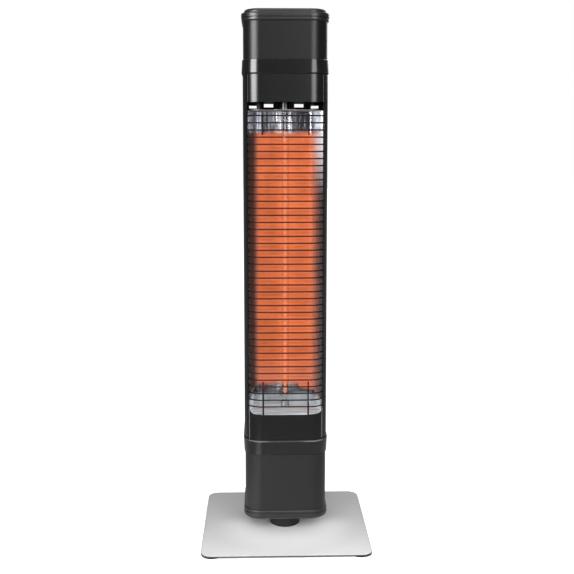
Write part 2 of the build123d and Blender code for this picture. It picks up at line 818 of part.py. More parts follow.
# ---------------------------------------------------------------- heating section
with BuildPart() as rear_housing:
    with BuildSketch(Plane.XY.offset(heating_bottom)):
        square_ring(heating_width, heating_radius, sheet_wall)
        with Locations((0, -heating_face)):
            Rectangle(2 * (panel_half_width + seam_gap), 2 * panel_depth, mode=Mode.SUBTRACT)
    extrude(amount=heating_height)
    with BuildSketch(rear_plane(heating_face)):
        for slot_x, slot_width, slot_height, slot_drop in vent_slots:
            with Locations((-slot_x, deck_level - slot_drop), (slot_x, deck_level - slot_drop)):
                Rectangle(slot_width, slot_height)
        for start in (heating_bottom + rear_vent_rise, heating_top - 2 * rear_vent_rise):
            for index in range(rear_vent_count):
                with Locations((0, start + index * rear_vent_pitch)):
                    SlotOverall(rear_vent_width, rear_vent_height)
    extrude(amount=heating_radius, mode=Mode.SUBTRACT)
    drill_rear(lower_collar_screws[1], heating_face, sheet_wall, rear_screw_radius + close_fit)
    drill_rear(upper_collar_screws[0], heating_face, sheet_wall, rear_screw_radius + close_fit)
    drill_rear(deck_screw_level, heating_face, sheet_wall, rear_screw_radius + close_fit)
rear_housing.part.label = "rear_housing"
export_step(rear_housing.part, "parts/rear_housing.step")

with BuildPart() as front_panel_lower:
    with BuildSketch(Plane.XY.offset(heating_bottom)):
        square_ring(heating_width, heating_radius, sheet_wall)
        with Locations((0, -heating_face)):
            Rectangle(2 * panel_half_width, 2 * panel_depth, mode=Mode.INTERSECT)
    extrude(amount=window_bottom_rise + window_corner_radius)
    with BuildSketch(Plane.XZ):
        with Locations((0, window_bottom)):
            RectangleRounded(
                2 * (panel_half_width - window_horn),
                4 * window_corner_radius,
                window_corner_radius,
                align=(Align.CENTER, Align.MIN),
            )
    extrude(amount=heating_width, mode=Mode.SUBTRACT)
front_panel_lower.part.label = "front_panel_lower"
export_step(front_panel_lower.part, "parts/front_panel_lower.step")

with BuildPart() as front_panel_upper:
    with BuildSketch(Plane.XY.offset(window_top)):
        square_ring(heating_width, heating_radius, sheet_wall)
        with Locations((0, -heating_face)):
            Rectangle(2 * panel_half_width, 2 * panel_depth, mode=Mode.INTERSECT)
    extrude(amount=window_top_drop)
front_panel_upper.part.label = "front_panel_upper"
export_step(front_panel_upper.part, "parts/front_panel_upper.step")

with BuildPart() as grille:
    wire_face = -(heating_face - grille_inset)
    for index in range(wire_count):
        with BuildLine(Plane.XY.offset(first_wire + index * wire_pitch)) as wire_path:
            Line((-bend_centre, wire_face), (bend_centre, wire_face))
            CenterArc((bend_centre, -bend_centre), wire_bend_radius, -90, grille_end_angle)
            CenterArc((-bend_centre, -bend_centre), wire_bend_radius, -90, -grille_end_angle)
        path = wire_path.wires()[0]
        with BuildSketch(Plane(origin=path @ 0, z_dir=path % 0)):
            Circle(wire_radius)
        sweep(path=path)
    rod_reach = (rod_wires - 1) * wire_pitch + rod_past_wires
    for rod_start, rod_end in (
        (window_bottom - rod_below_window, first_wire + rod_reach),
        (last_wire - rod_reach, last_wire + rod_above_wires),
    ):
        with BuildSketch(Plane.XY.offset(rod_start)):
            with Locations((-rod_x, rod_face_y), (rod_x, rod_face_y)):
                Circle(rod_radius)
        extrude(amount=rod_end - rod_start)
    with BuildSketch(Plane.XY.offset(window_bottom - rod_below_window)):
        with Locations((-edge_rod_x, edge_rod_y), (edge_rod_x, edge_rod_y)):
            Circle(rod_radius)
    extrude(amount=deck_level - fit_gap - window_bottom + rod_below_window)
grille.part.label = "grille"
export_step(grille.part, "parts/grille.step")

with BuildPart() as reflector:
    with BuildSketch(Plane.XY.offset(reflector_bottom)) as reflector_outline:
        with BuildLine():
            Polyline(
                (-reflector_front_half - reflector_sheet, reflector_front_y),
                (reflector_front_half + reflector_sheet, reflector_front_y),
                (reflector_back_half + reflector_sheet, reflector_back_y + reflector_sheet),
                (-reflector_back_half - reflector_sheet, reflector_back_y + reflector_sheet),
                close=True,
            )
        make_face()
        fillet(reflector_outline.vertices().group_by(Axis.Y)[-1], reflector_bend_radius + reflector_sheet)
        with BuildSketch(Plane.XY, mode=Mode.SUBTRACT) as reflector_hollow:
            with BuildLine():
                Polyline(
                    (-reflector_front_half, reflector_front_y),
                    (reflector_front_half, reflector_front_y),
                    (reflector_back_half, reflector_back_y),
                    (-reflector_back_half, reflector_back_y),
                    close=True,
                )
            make_face()
            fillet(reflector_hollow.vertices().group_by(Axis.Y)[-1], reflector_bend_radius)
        flange_width = reflector_flange_x - reflector_front_half
        flange_centre = (reflector_flange_x + reflector_front_half) / 2
        with Locations((-flange_centre, reflector_front_y), (flange_centre, reflector_front_y)):
            Rectangle(flange_width, reflector_sheet, align=(Align.CENTER, Align.MIN))
    extrude(amount=reflector_top - reflector_bottom)
reflector.part.label = "reflector"
export_step(reflector.part, "parts/reflector.step")


def chamber_plate(level, back_y):
    """A sheet across the lamp chamber, from behind the grille rods to the reflector's back."""
    with BuildSketch(Plane.XY.offset(level)) as outline:
        rounded_square(2 * chamber_face, chamber_radius)
        with Locations((0, -heating_face)):
            Rectangle(
                heating_width,
                heating_face + back_y,
                align=(Align.CENTER, Align.MIN),
                mode=Mode.INTERSECT,
            )
        with Locations((0, lamp_y)):
            Circle(cap_hole_radius, mode=Mode.SUBTRACT)
    extrude(outline.sketch, amount=reflector_sheet)


with BuildPart() as reflector_floor:
    chamber_plate(reflector_bottom - reflector_sheet, reflector_back_y + reflector_sheet)
    lip_height = rod_below_window - fit_gap
    with BuildSketch(Plane.XY.offset(reflector_bottom - reflector_sheet)):
        with Locations((0, -chamber_face)):
            Rectangle(2 * rod_x + 4 * rod_radius, reflector_sheet, align=(Align.CENTER, Align.MIN))
    extrude(amount=-lip_height)
reflector_floor.part.label = "reflector_floor"
export_step(reflector_floor.part, "parts/reflector_floor.step")

with BuildPart() as reflector_ceiling:
    chamber_plate(reflector_top, reflector_back_y + reflector_sheet)
reflector_ceiling.part.label = "reflector_ceiling"
export_step(reflector_ceiling.part, "parts/reflector_ceiling.step")

with BuildPart() as quartz_tube:
    with BuildSketch(Plane.XY.offset(lamp_bottom)):
        with Locations((0, lamp_y)):
            Circle(lamp_radius)
            Circle(lamp_radius - lamp_wall, mode=Mode.SUBTRACT)
    extrude(amount=lamp_top - lamp_bottom)
quartz_tube.part.label = "quartz_tube"
export_step(quartz_tube.part, "parts/quartz_tube.step")

with BuildPart() as carbon_filament:
    lead_start = lamp_bottom_cap + lamp_cap_length - lamp_cap_overlap - lamp_lead_socket
    lead_end = lamp_top_cap - lamp_cap_length + lamp_cap_overlap + lamp_lead_socket
    hot_start = lamp_bottom + cold_length_bottom
    hot_end = lamp_top - cold_length_top
    filament_spans = [
        (lamp_lead_radius, lead_start, lead_end),
        (filament_radius, hot_start, hot_end),
        (filament_ferrule_radius, hot_start, hot_start + filament_ferrule_length),
        (filament_ferrule_radius, hot_end - filament_ferrule_length, hot_end),
    ]
    for span_radius, span_start, span_end in filament_spans:
        with BuildSketch(Plane.XY.offset(span_start)):
            with Locations((0, lamp_y)):
                Circle(span_radius)
        extrude(amount=span_end - span_start)
carbon_filament.part.label = "carbon_filament"
export_step(carbon_filament.part, "parts/carbon_filament.step")

with BuildPart() as lamp_end_caps:
    for closed_end, inward in ((lamp_bottom_cap, 1), (lamp_top_cap, -1)):
        socket_end = closed_end + inward * (lamp_cap_length - lamp_cap_overlap)
        with BuildSketch(Plane.XY.offset(closed_end)):
            with Locations((0, lamp_y)):
                Circle(lamp_cap_radius)
        extrude(amount=inward * lamp_cap_length)
        with BuildSketch(Plane.XY.offset(socket_end)):
            with Locations((0, lamp_y)):
                Circle(lamp_radius + close_fit)
        extrude(amount=inward * lamp_cap_overlap, mode=Mode.SUBTRACT)
        with BuildSketch(Plane.XY.offset(socket_end)):
            with Locations((0, lamp_y)):
                Circle(lamp_lead_radius + close_fit)
        extrude(amount=-inward * (lamp_lead_socket + fit_gap), mode=Mode.SUBTRACT)
lamp_end_caps.part.label = "lamp_end_caps"
export_step(lamp_end_caps.part, "parts/lamp_end_caps.step")

with BuildPart() as lamp_brackets:
    bottom_bracket = reflector_bottom - reflector_sheet - bracket_sheet
    top_bracket = reflector_top + reflector_sheet
    for level in (bottom_bracket, top_bracket):
        with BuildSketch(Plane.XY.offset(level)):
            with Locations((0, lamp_y)):
                RectangleRounded(bracket_width, bracket_depth, bracket_depth / 5)
                Circle(lamp_cap_radius + close_fit, mode=Mode.SUBTRACT)
        extrude(amount=bracket_sheet)
lamp_brackets.part.label = "lamp_brackets"
export_step(lamp_brackets.part, "parts/lamp_brackets.step")

with BuildPart() as compartment_deck:
    with BuildSketch(Plane.XY.offset(deck_level)):
        rounded_square(heating_spigot, heating_spigot_radius)
    extrude(amount=deck_flange)
    with BuildSketch(Plane.XY.offset(deck_level + deck_sheet)):
        rounded_square(heating_spigot - 2 * deck_sheet, heating_spigot_radius - deck_sheet)
    extrude(amount=deck_flange, mode=Mode.SUBTRACT)
    with BuildSketch(Plane.XY.offset(deck_level)):
        with Locations((deck_grommet_x, lamp_y)):
            Circle(deck_grommet_radius)
    extrude(amount=deck_sheet, mode=Mode.SUBTRACT)
    drill_rear(deck_screw_level, heating_spigot / 2, deck_sheet, rear_screw_radius + close_fit)
compartment_deck.part.label = "compartment_deck"
export_step(compartment_deck.part, "parts/compartment_deck.step")

with BuildPart() as thermal_cutout:
    with BuildSketch(Plane.XY.offset(deck_level + deck_sheet)):
        with Locations((0, cutout_y)):
            SlotOverall(2 * (cutout_radius + cutout_flange_overhang), 2 * cutout_radius - cutout_tab_width)
    extrude(amount=deck_sheet)
    with BuildSketch(Plane.XY.offset(deck_level + 2 * deck_sheet)):
        with Locations((0, cutout_y)):
            Circle(cutout_radius)
    extrude(amount=cutout_height)
    with BuildSketch(Plane.XY.offset(deck_level + 2 * deck_sheet + cutout_height)):
        with Locations((-cutout_radius / 2, cutout_y), (cutout_radius / 2, cutout_y)):
            Rectangle(deck_sheet, cutout_tab_width)
    extrude(amount=cutout_height)
thermal_cutout.part.label = "thermal_cutout"
export_step(thermal_cutout.part, "parts/thermal_cutout.step")

# ---------------------------------------------------------------- upper tower
with BuildPart() as upper_collar:
    collar_shell(heating_top, upper_collar_height, collar_wide_width, collar_narrow_width)
    spigot(heating_top, -1, heating_spigot, heating_spigot_radius)
    spigot(upper_housing_bottom, 1, housing_spigot, housing_spigot_radius)
    drill_rear(upper_collar_screws[0], heating_spigot / 2, spigot_wall, rear_screw_radius + close_fit)
    drill_rear(upper_collar_screws[1], housing_spigot / 2, spigot_wall, rear_screw_radius + close_fit)
upper_collar.part.label = "upper_collar"
export_step(upper_collar.part, "parts/upper_collar.step")

speaker_screw_points = [
    (x, speaker_level + z)
    for x in (-(speaker_flange / 2 - speaker_screw_inset), speaker_flange / 2 - speaker_screw_inset)
    for z in (-(speaker_flange / 2 - speaker_screw_inset), speaker_flange / 2 - speaker_screw_inset)
]

with BuildPart() as upper_housing:
    with BuildSketch(Plane.XY.offset(upper_housing_bottom)):
        square_ring(housing_width, housing_radius, housing_wall)
    extrude(amount=upper_housing_height)
    with BuildSketch(rear_plane(housing_face)):
        with Locations((0, speaker_level)):
            with PolarLocations(0, 1):
                Circle(speaker_hole_radius)
            for ring in range(1, speaker_hole_rings + 1):
                with PolarLocations(ring * speaker_hole_pitch, 6 * ring):
                    Circle(speaker_hole_radius)
        with Locations(*speaker_screw_points):
            Circle(rear_screw_radius + close_fit)
    extrude(amount=housing_wall, mode=Mode.SUBTRACT)
    drill_rear(upper_collar_screws[1], housing_face, housing_wall, rear_screw_radius + close_fit)
    drill_rear(top_screw_level, housing_face, housing_wall, rear_screw_radius + close_fit)
upper_housing.part.label = "upper_housing"
export_step(upper_housing.part, "parts/upper_housing.step")

with BuildPart() as top_rim:
    rim_beads(lid_bottom, -1, top_rim_height - groove_height - inner_bead_height, top_rim_fillet)
    with BuildSketch(Plane.XY.offset(top_rim_bottom)):
        rounded_square(housing_spigot - 2 * spigot_wall, housing_spigot_radius - spigot_wall)
    extrude(amount=top_rim_height, mode=Mode.SUBTRACT)
    spigot(top_rim_bottom, -1, housing_spigot, housing_spigot_radius)
    drill_rear(top_screw_level, housing_spigot / 2, spigot_wall, rear_screw_radius + close_fit)
top_rim.part.label = "top_rim"
export_step(top_rim.part, "parts/top_rim.step")

lid_skirt_width = housing_spigot - 2 * spigot_wall - 2 * fit_gap
lid_skirt_radius = housing_spigot_radius - spigot_wall - fit_gap

with BuildPart() as top_lid:
    with BuildSketch(Plane.XY.offset(lid_bottom)):
        rounded_square(lid_width, lid_radius)
    extrude(amount=lid_height)
    fillet(top_lid.faces().sort_by(Axis.Z)[-1].edges(), lid_edge_fillet)
    with BuildSketch(Plane.XY.offset(lid_bottom)):
        rounded_square(lid_skirt_width, lid_skirt_radius)
    extrude(amount=-lid_skirt)
    with BuildSketch(Plane.XY.offset(lid_bottom - lid_skirt)):
        rounded_square(lid_skirt_width - 2 * lid_skirt_wall, lid_skirt_radius - lid_skirt_wall)
    extrude(amount=lid_roof_bottom - lid_bottom + lid_skirt, mode=Mode.SUBTRACT)
    with BuildSketch(Plane.XY.offset(fascia_bottom)):
        with Locations((0, fascia_y)):
            RectangleRounded(
                fascia_width + 2 * fit_gap,
                fascia_depth + 2 * fit_gap,
                fascia_corner + fit_gap,
            )
    extrude(amount=fascia_recess, mode=Mode.SUBTRACT)
    with BuildSketch(Plane.XY.offset(lid_roof_bottom)):
        with Locations(*[(x, button_y) for x in button_xs]):
            Circle(button_hole_radius)
    extrude(amount=lid_roof, mode=Mode.SUBTRACT)
    with BuildSketch(Plane.XY.offset(control_board_top)):
        with Locations(*board_post_points):
            Circle(post_radius)
            Circle(board_screw_radius + close_fit, mode=Mode.SUBTRACT)
    extrude(amount=lid_roof_bottom - control_board_top)
top_lid.part.label = "top_lid"
export_step(top_lid.part, "parts/top_lid.step")

with BuildPart() as control_fascia:
    with BuildSketch(Plane.XY.offset(fascia_bottom)):
        with Locations((0, fascia_y)):
            RectangleRounded(fascia_width, fascia_depth, fascia_corner)
        with Locations(*[(x, button_y) for x in button_xs]):
            Circle(button_hole_radius, mode=Mode.SUBTRACT)
        with Locations((0, lens_y)):
            SlotOverall(lens_width + 2 * close_fit, lens_depth + 2 * close_fit, mode=Mode.SUBTRACT)
    extrude(amount=fascia_sheet)
control_fascia.part.label = "control_fascia"
export_step(control_fascia.part, "parts/control_fascia.step")

with BuildPart() as indicator_lens:
    with BuildSketch(Plane.XY.offset(fascia_bottom)):
        with Locations((0, lens_y)):
            SlotOverall(lens_width, lens_depth)
    extrude(amount=fascia_sheet + lens_crown)
indicator_lens.part.label = "indicator_lens"
export_step(indicator_lens.part, "parts/indicator_lens.step")

for button_name, button_x in zip(button_names, button_xs):
    with BuildPart() as button:
        with BuildSketch(Plane.XY.offset(button_flange_top)):
            with Locations((button_x, button_y)):
                Circle(button_radius)
        extrude(amount=button_top - button_flange_top)
        fillet(button.faces().sort_by(Axis.Z)[-1].edges(), button_crown / 2)
        with BuildSketch(Plane.XY.offset(button_flange_bottom)):
            with Locations((button_x, button_y)):
                Circle(button_flange_radius)
        extrude(amount=button_flange_height)
        with BuildSketch(Plane.XY.offset(button_stem_bottom)):
            with Locations((button_x, button_y)):
                Circle(button_stem_radius)
        extrude(amount=button_stem_length)
    button.part.label = f"button_{button_name}"
    export_step(button.part, f"parts/button_{button_name}.step")

with BuildPart() as control_board:
    with BuildSketch(Plane.XY.offset(control_board_top)):
        with Locations((0, fascia_y)):
            Rectangle(control_board_width, control_board_depth)
        with Locations(*board_post_points):
            Circle(board_screw_radius + close_fit, mode=Mode.SUBTRACT)
    extrude(amount=-board_thickness)
control_board.part.label = "control_board"
export_step(control_board.part, "parts/control_board.step")

with BuildPart() as tact_switches:
    with BuildSketch(Plane.XY.offset(control_board_top)):
        with Locations(*[(x, button_y) for x in button_xs]):
            Rectangle(tact_side, tact_side)
    extrude(amount=tact_height)
    with BuildSketch(Plane.XY.offset(control_board_top + tact_height)):
        with Locations(*[(x, button_y) for x in button_xs]):
            Circle(tact_plunger_radius)
    extrude(amount=tact_plunger_height)
tact_switches.part.label = "tact_switches"
export_step(tact_switches.part, "parts/tact_switches.step")

with BuildPart() as board_screws:
    screw_seat = control_board_top - board_thickness
    with BuildSketch(Plane.XY.offset(screw_seat)):
        with Locations(*board_post_points):
            Circle(board_screw_radius)
    extrude(amount=board_screw_length)
    with BuildSketch(Plane.XY.offset(screw_seat)):
        with Locations(*board_post_points):
            Circle(board_screw_head)
    extrude(amount=-board_screw_head_height)
board_screws.part.label = "board_screws"
export_step(board_screws.part, "parts/board_screws.step")

with BuildPart() as power_board:
    with BuildSketch(Plane.XY.offset(power_board_bottom)):
        with Locations((0, power_board_y)):
            Rectangle(power_board_width, power_board_depth)
    extrude(amount=board_thickness)
    with BuildSketch(Plane.XY.offset(power_board_bottom)):
        with Locations((0, power_board_y)):
            with GridLocations(
                power_board_width - 4 * standoff_radius,
                power_board_depth - 4 * standoff_radius,
                2,
                2,
            ):
                Circle(standoff_radius)
    extrude(amount=-standoff_height)
power_board.part.label = "power_board"
export_step(power_board.part, "parts/power_board.step")

power_board_face = power_board_bottom + board_thickness

with BuildPart() as relays:
    with Locations((-power_board_width / 4, power_board_y, power_board_face)):
        with GridLocations(relay_pitch, 1, 2, 1):
            Box(relay_width, relay_length, relay_height, align=(Align.CENTER, Align.CENTER, Align.MIN))
    chamfer(relays.faces().sort_by(Axis.Z)[-2:].edges(), board_thickness / 2)
relays.part.label = "relays"
export_step(relays.part, "parts/relays.step")

with BuildPart() as heat_sink:
    sink_width = (heat_sink_fins - 1) * heat_sink_pitch + heat_sink_fin
    with Locations((power_board_width / 4, power_board_y, power_board_face)):
        Box(sink_width, heat_sink_depth, heat_sink_base, align=(Align.CENTER, Align.CENTER, Align.MIN))
        with GridLocations(heat_sink_pitch, 1, heat_sink_fins, 1):
            fin_align = (Align.CENTER, Align.CENTER, Align.MIN)
            Box(heat_sink_fin, heat_sink_depth, heat_sink_height, align=fin_align)
heat_sink.part.label = "heat_sink"
export_step(heat_sink.part, "parts/heat_sink.step")

with BuildPart() as speaker_frame:
    flange_face = housing_back_inside
    basket_end = flange_face - speaker_basket_depth
    with BuildSketch(rear_plane(flange_face)):
        with Locations((0, speaker_level)):
            RectangleRounded(speaker_flange, speaker_flange, speaker_screw_inset)
        with Locations(*speaker_screw_points):
            Circle(rear_screw_radius + close_fit, mode=Mode.SUBTRACT)
    extrude(amount=speaker_flange_sheet)
    with BuildSketch(rear_plane(flange_face)):
        with Locations((0, speaker_level)):
            Circle(speaker_radius)
    with BuildSketch(rear_plane(basket_end)):
        with Locations((0, speaker_level)):
            Circle(speaker_magnet_radius)
    loft(ruled=True)
    with BuildSketch(rear_plane(flange_face)):
        with Locations((0, speaker_level)):
            Circle(speaker_radius - speaker_flange_sheet)
    extrude(amount=speaker_flange_sheet, mode=Mode.SUBTRACT)
    with BuildSketch(rear_plane(flange_face - speaker_flange_sheet)):
        with Locations((0, speaker_level)):
            Circle(speaker_radius - speaker_flange_sheet - speaker_basket_wall)
    with BuildSketch(rear_plane(basket_end + speaker_basket_wall)):
        with Locations((0, speaker_level)):
            Circle(speaker_magnet_radius - speaker_basket_wall)
    loft(ruled=True, mode=Mode.SUBTRACT)
speaker_frame.part.label = "speaker_frame"
export_step(speaker_frame.part, "parts/speaker_frame.step")

with BuildPart() as speaker_magnet:
    with BuildSketch(rear_plane(basket_end)):
        with Locations((0, speaker_level)):
            Circle(speaker_magnet_radius)
    extrude(amount=speaker_magnet_depth)
    chamfer(speaker_magnet.faces().sort_by(Axis.Y)[0].edges(), speaker_magnet_depth / 8)
speaker_magnet.part.label = "speaker_magnet"
export_step(speaker_magnet.part, "parts/speaker_magnet.step")

with BuildPart() as speaker_cone:
    ledge_y = flange_face - speaker_flange_sheet
    throat_y = ledge_y - speaker_cone_depth
    surround_radius = speaker_radius - speaker_flange_sheet - fit_gap
    with BuildSketch(Plane(origin=(0, 0, speaker_level), z_dir=(0, 0, 1))):
        with BuildLine():
            Polyline(
                (0, throat_y),
                (speaker_cone_inner, throat_y),
                (speaker_cone_outer, ledge_y),
                (surround_radius, ledge_y),
                (surround_radius, ledge_y + speaker_cone_sheet),
                (speaker_cone_outer - speaker_cone_sheet, ledge_y + speaker_cone_sheet),
                (speaker_cone_inner - speaker_cone_sheet, throat_y + speaker_cone_sheet),
                (0, throat_y + speaker_cone_sheet),
                close=True,
            )
        make_face()
    revolve(axis=Axis((0, 0, speaker_level), (0, 1, 0)))
speaker_cone.part.label = "speaker_cone"
export_step(speaker_cone.part, "parts/speaker_cone.step")

# ---------------------------------------------------------------- rear fasteners
rear_screw_seats = [
    (rim_screw_level, housing_face),
    (lower_collar_screws[0], housing_face),
    (lower_collar_screws[1], heating_face),
    (deck_screw_level, heating_face),
    (upper_collar_screws[0], heating_face),
    (upper_collar_screws[1], housing_face),
    (top_screw_level, housing_face),
]

with BuildPart() as rear_screws:
    shank = (rear_screw_radius, rear_screw_length)
    head = (rear_screw_head_radius, -rear_screw_head_height)
    for level, face_y in rear_screw_seats:
        for radius, length in (shank, head):
            with BuildSketch(rear_plane(face_y)):
                with Locations((-rear_screw_x, level), (rear_screw_x, level)):
                    Circle(radius)
            extrude(amount=length)
rear_screws.part.label = "rear_screws"
export_step(rear_screws.part, "parts/rear_screws.step")

with BuildPart() as speaker_screws:
    screw_reach = housing_wall + speaker_flange_sheet + speaker_screw_length
    for radius, length in ((rear_screw_radius, screw_reach), head):
        with BuildSketch(rear_plane(housing_face)):
            with Locations(*speaker_screw_points):
                Circle(radius)
        extrude(amount=length)
speaker_screws.part.label = "speaker_screws"
export_step(speaker_screws.part, "parts/speaker_screws.step")
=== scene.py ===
"""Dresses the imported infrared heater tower: coats, grille, reflector, lamp, controls and a studio.

Every length in a mesh is in metres. +Z is up, the grille faces -Y, and the origin is on the floor.
Sizes in the property groups are in millimetres where their names end in _mm.
"""

import json
import math

import bpy
from bpy.props import FloatProperty, FloatVectorProperty, IntProperty, PointerProperty
from mathutils import Matrix, Vector, noise


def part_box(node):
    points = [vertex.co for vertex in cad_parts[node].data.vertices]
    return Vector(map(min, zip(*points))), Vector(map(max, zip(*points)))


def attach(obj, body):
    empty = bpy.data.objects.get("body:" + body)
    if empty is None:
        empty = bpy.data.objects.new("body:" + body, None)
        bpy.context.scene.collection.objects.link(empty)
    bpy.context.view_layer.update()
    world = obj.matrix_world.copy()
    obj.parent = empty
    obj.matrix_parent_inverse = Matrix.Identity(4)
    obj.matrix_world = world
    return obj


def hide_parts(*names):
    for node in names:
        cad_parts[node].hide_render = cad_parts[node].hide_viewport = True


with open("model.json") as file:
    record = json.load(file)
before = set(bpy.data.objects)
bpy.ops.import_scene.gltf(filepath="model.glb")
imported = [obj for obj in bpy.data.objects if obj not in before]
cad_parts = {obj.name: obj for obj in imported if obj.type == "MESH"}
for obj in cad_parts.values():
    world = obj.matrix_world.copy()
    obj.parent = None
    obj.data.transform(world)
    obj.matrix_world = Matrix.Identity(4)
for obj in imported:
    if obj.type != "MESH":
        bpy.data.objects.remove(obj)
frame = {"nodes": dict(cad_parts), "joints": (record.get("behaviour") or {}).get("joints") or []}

bl_info = {
    "name": "Infrared Heater Tower",
    "version": (1, 0, 0),
    "blender": (4, 5, 0),
    "location": "3D View > Sidebar > Heater",
    "description": "Dresses an infrared heater tower and sets it in a plain studio",
    "category": "Object",
}

MM = 0.001
SHARP_EDGE = math.radians(38)
BLACK = (0.0, 0.0, 0.0)


# ---------------------------------------------------------------- sizes and colours
def grey(level):
    """A neutral linear colour."""
    return (level, level, level)


def shade(colour, factor):
    """A colour made darker or lighter."""
    return tuple(min(1.0, part * factor) for part in colour)


def colour_property(name, description, default):
    """A linear colour that a user may change."""
    return FloatVectorProperty(
        name=name, description=description, default=default, size=3, min=0.0, max=1.0, subtype="COLOR"
    )


def length_property(name, description, default):
    """A length in millimetres that a user may change."""
    return FloatProperty(name=name, description=description, default=default, min=0.0)


def angle_property(name, description, degrees):
    """An angle that a user may change, with its default in degrees."""
    return FloatProperty(name=name, description=description, default=math.radians(degrees), unit="ROTATION")


def power_property(name, description, default):
    """The power of a lamp in watts."""
    return FloatProperty(name=name, description=description, default=default, min=0.0, unit="POWER")


class HeaterFinishes(bpy.types.PropertyGroup):
    """Colours of the coats, metals and plastics."""

    housing: colour_property("Housings", "Satin powder coat of the housings", (0.005, 0.005, 0.0054))
    panel: colour_property("Panels", "Satin powder coat round the lamp", (0.0038, 0.0038, 0.0041))
    # Painted highlight on the side edges of the front panels.
    hem: colour_property("Hems", "Side edges of the front panels, in light", (0.1, 0.1, 0.102))
    moulding: colour_property("Collars", "Satin plastic of the collars", (0.0045, 0.0046, 0.0049))
    # Painted highlight on the upper edge of the lower collar.
    lip: colour_property("Collar lip", "Upper lip of the lower collar, in light", (0.085, 0.085, 0.087))
    rim: colour_property("Rims", "Satin plastic of the rims and the lid", (0.0108, 0.0108, 0.0112))
    neck: colour_property("Neck", "Matt plastic of the swivel neck", (0.003, 0.003, 0.0034))
    plate: colour_property("Floor plate", "Satin silver powder coat", (0.57, 0.57, 0.573))
    # Painted shade on the floor plate's edge.
    plate_edge_shade: colour_property("Plate edge", "Cut edge of the floor plate", (0.02, 0.02, 0.021))
    feet: colour_property("Feet", "Rubber under the plate", grey(0.012))
    # Near-black bands that stand in for the shadow gaps under the collars: painted shade.
    seals: colour_property("Seals", "Rubber between the collars and the panels", grey(0.002))
    wire: colour_property("Grille wire", "Black enamel of the wires", (0.0035, 0.003, 0.003))
    reflector: colour_property("Reflector", "Bright rolled aluminium", (0.86, 0.865, 0.875))
    reflector_rear: colour_property("Reflector's rear", "Plain rolled aluminium", (0.5, 0.5, 0.51))
    floor_sheet: colour_property("Chamber floor", "Sheet under the lamp", (0.6, 0.68, 0.73))
    # Painted light on the chamber's floor sheet.
    floor_sheen: colour_property("Floor sheen", "Light that this sheet gathers", (0.24, 0.3, 0.315))
    ceiling_sheet: colour_property("Chamber ceiling", "Sheet over the lamp", (0.3, 0.3, 0.31))
    sleeve: colour_property("Sleeves", "Nickel plate on the tube's sleeves", (0.4, 0.4, 0.41))
    ferrule: colour_property("Ferrules", "Tempered nickel at the strand's ends", (0.3, 0.2, 0.16))
    lead: colour_property("Leads", "Nickel wire to the strand", (0.5, 0.48, 0.46))
    zinc: colour_property("Zinc", "Plated screws, spindle and brackets", (0.58, 0.58, 0.56))
    blackened: colour_property("Blackened steel", "Rear screws and the deck", (0.05, 0.05, 0.052))
    fins: colour_property("Heat sink", "Extruded aluminium", (0.7, 0.7, 0.71))
    acetal: colour_property("Acetal", "Bearings of the swivel", (0.8, 0.8, 0.78))
    nylon: colour_property("Nylon", "Terminal block", (0.72, 0.71, 0.66))
    board: colour_property("Circuit board", "Green lacquer", (0.012, 0.09, 0.04))
    component: colour_property("Components", "Moulded cases on the boards", grey(0.022))
    switch: colour_property("Switch", "Plastic of the switch and the gland", grey(0.02))
    rocker: colour_property("Rocker", "Gloss plastic of the rocker", (0.014, 0.014, 0.015))
    fascia: colour_property("Fascia", "Gloss plastic round the buttons", (0.012, 0.012, 0.013))
    buttons: colour_property("Buttons", "Satin plastic of the buttons", (0.045, 0.045, 0.047))
    indicator: colour_property("Indicator", "Red lens beside the buttons", (0.75, 0.09, 0.04))
    button_ink: colour_property("Button ink", "Marks on the buttons", (0.78, 0.78, 0.76))
    rocker_ink: colour_property("Rocker ink", "Marks on the rocker", (0.8, 0.8, 0.78))
    basket: colour_property("Loudspeaker", "Moulded frame of the loudspeaker", grey(0.018))
    magnet: colour_property("Magnet", "Sintered ferrite", grey(0.05))
    cone: colour_property("Cone", "Black pulp", grey(0.03))


class HeaterLamp(bpy.types.PropertyGroup):
    """The lamp's glow, and the painted glow and painted light for it on the reflector, wires and ferrules.
    """

    # Painted glow on the reflector's back.
    glow: colour_property("Glow", "Orange that the reflector throws back", (0.5, 0.122, 0.047))
    low_glow: colour_property("Low glow", "The same near the chamber's floor", (0.5, 0.15, 0.085))
    strand: colour_property("Strand", "Colour of the hot carbon strand", (0.9, 0.25, 0.11))
    # Painted glow on the ferrules.
    ferrule_painted_glow: colour_property("Ferrule heat", "Glow of the ferrules", (0.36, 0.075, 0.03))
    # Painted glow on the wires before the lamp.
    wire_painted_glow: colour_property("Wire heat", "Glow of the wires before the lamp", (0.09, 0.004, 0.0))
    # Painted light: the orange of the reflector metal under the painted glow.
    glow_lit_metal: colour_property("Lit metal", "Reflector metal under the glow", (0.36, 0.09, 0.035))
    glow_bottom_mm: length_property("Glow bottom", "Lowest level of the glow", 260.0)
    glow_top_mm: length_property("Glow top", "Highest level of the glow", 731.0)
    strand_radius_mm: length_property("Strand radius", "Radius of one of the twisted strands", 1.55)
    twist_radius_mm: length_property("Twist radius", "Radius of the twisted pair", 3.2)
    twist_pitch_mm: length_property("Twist pitch", "Length of one turn of the twist", 15.0)


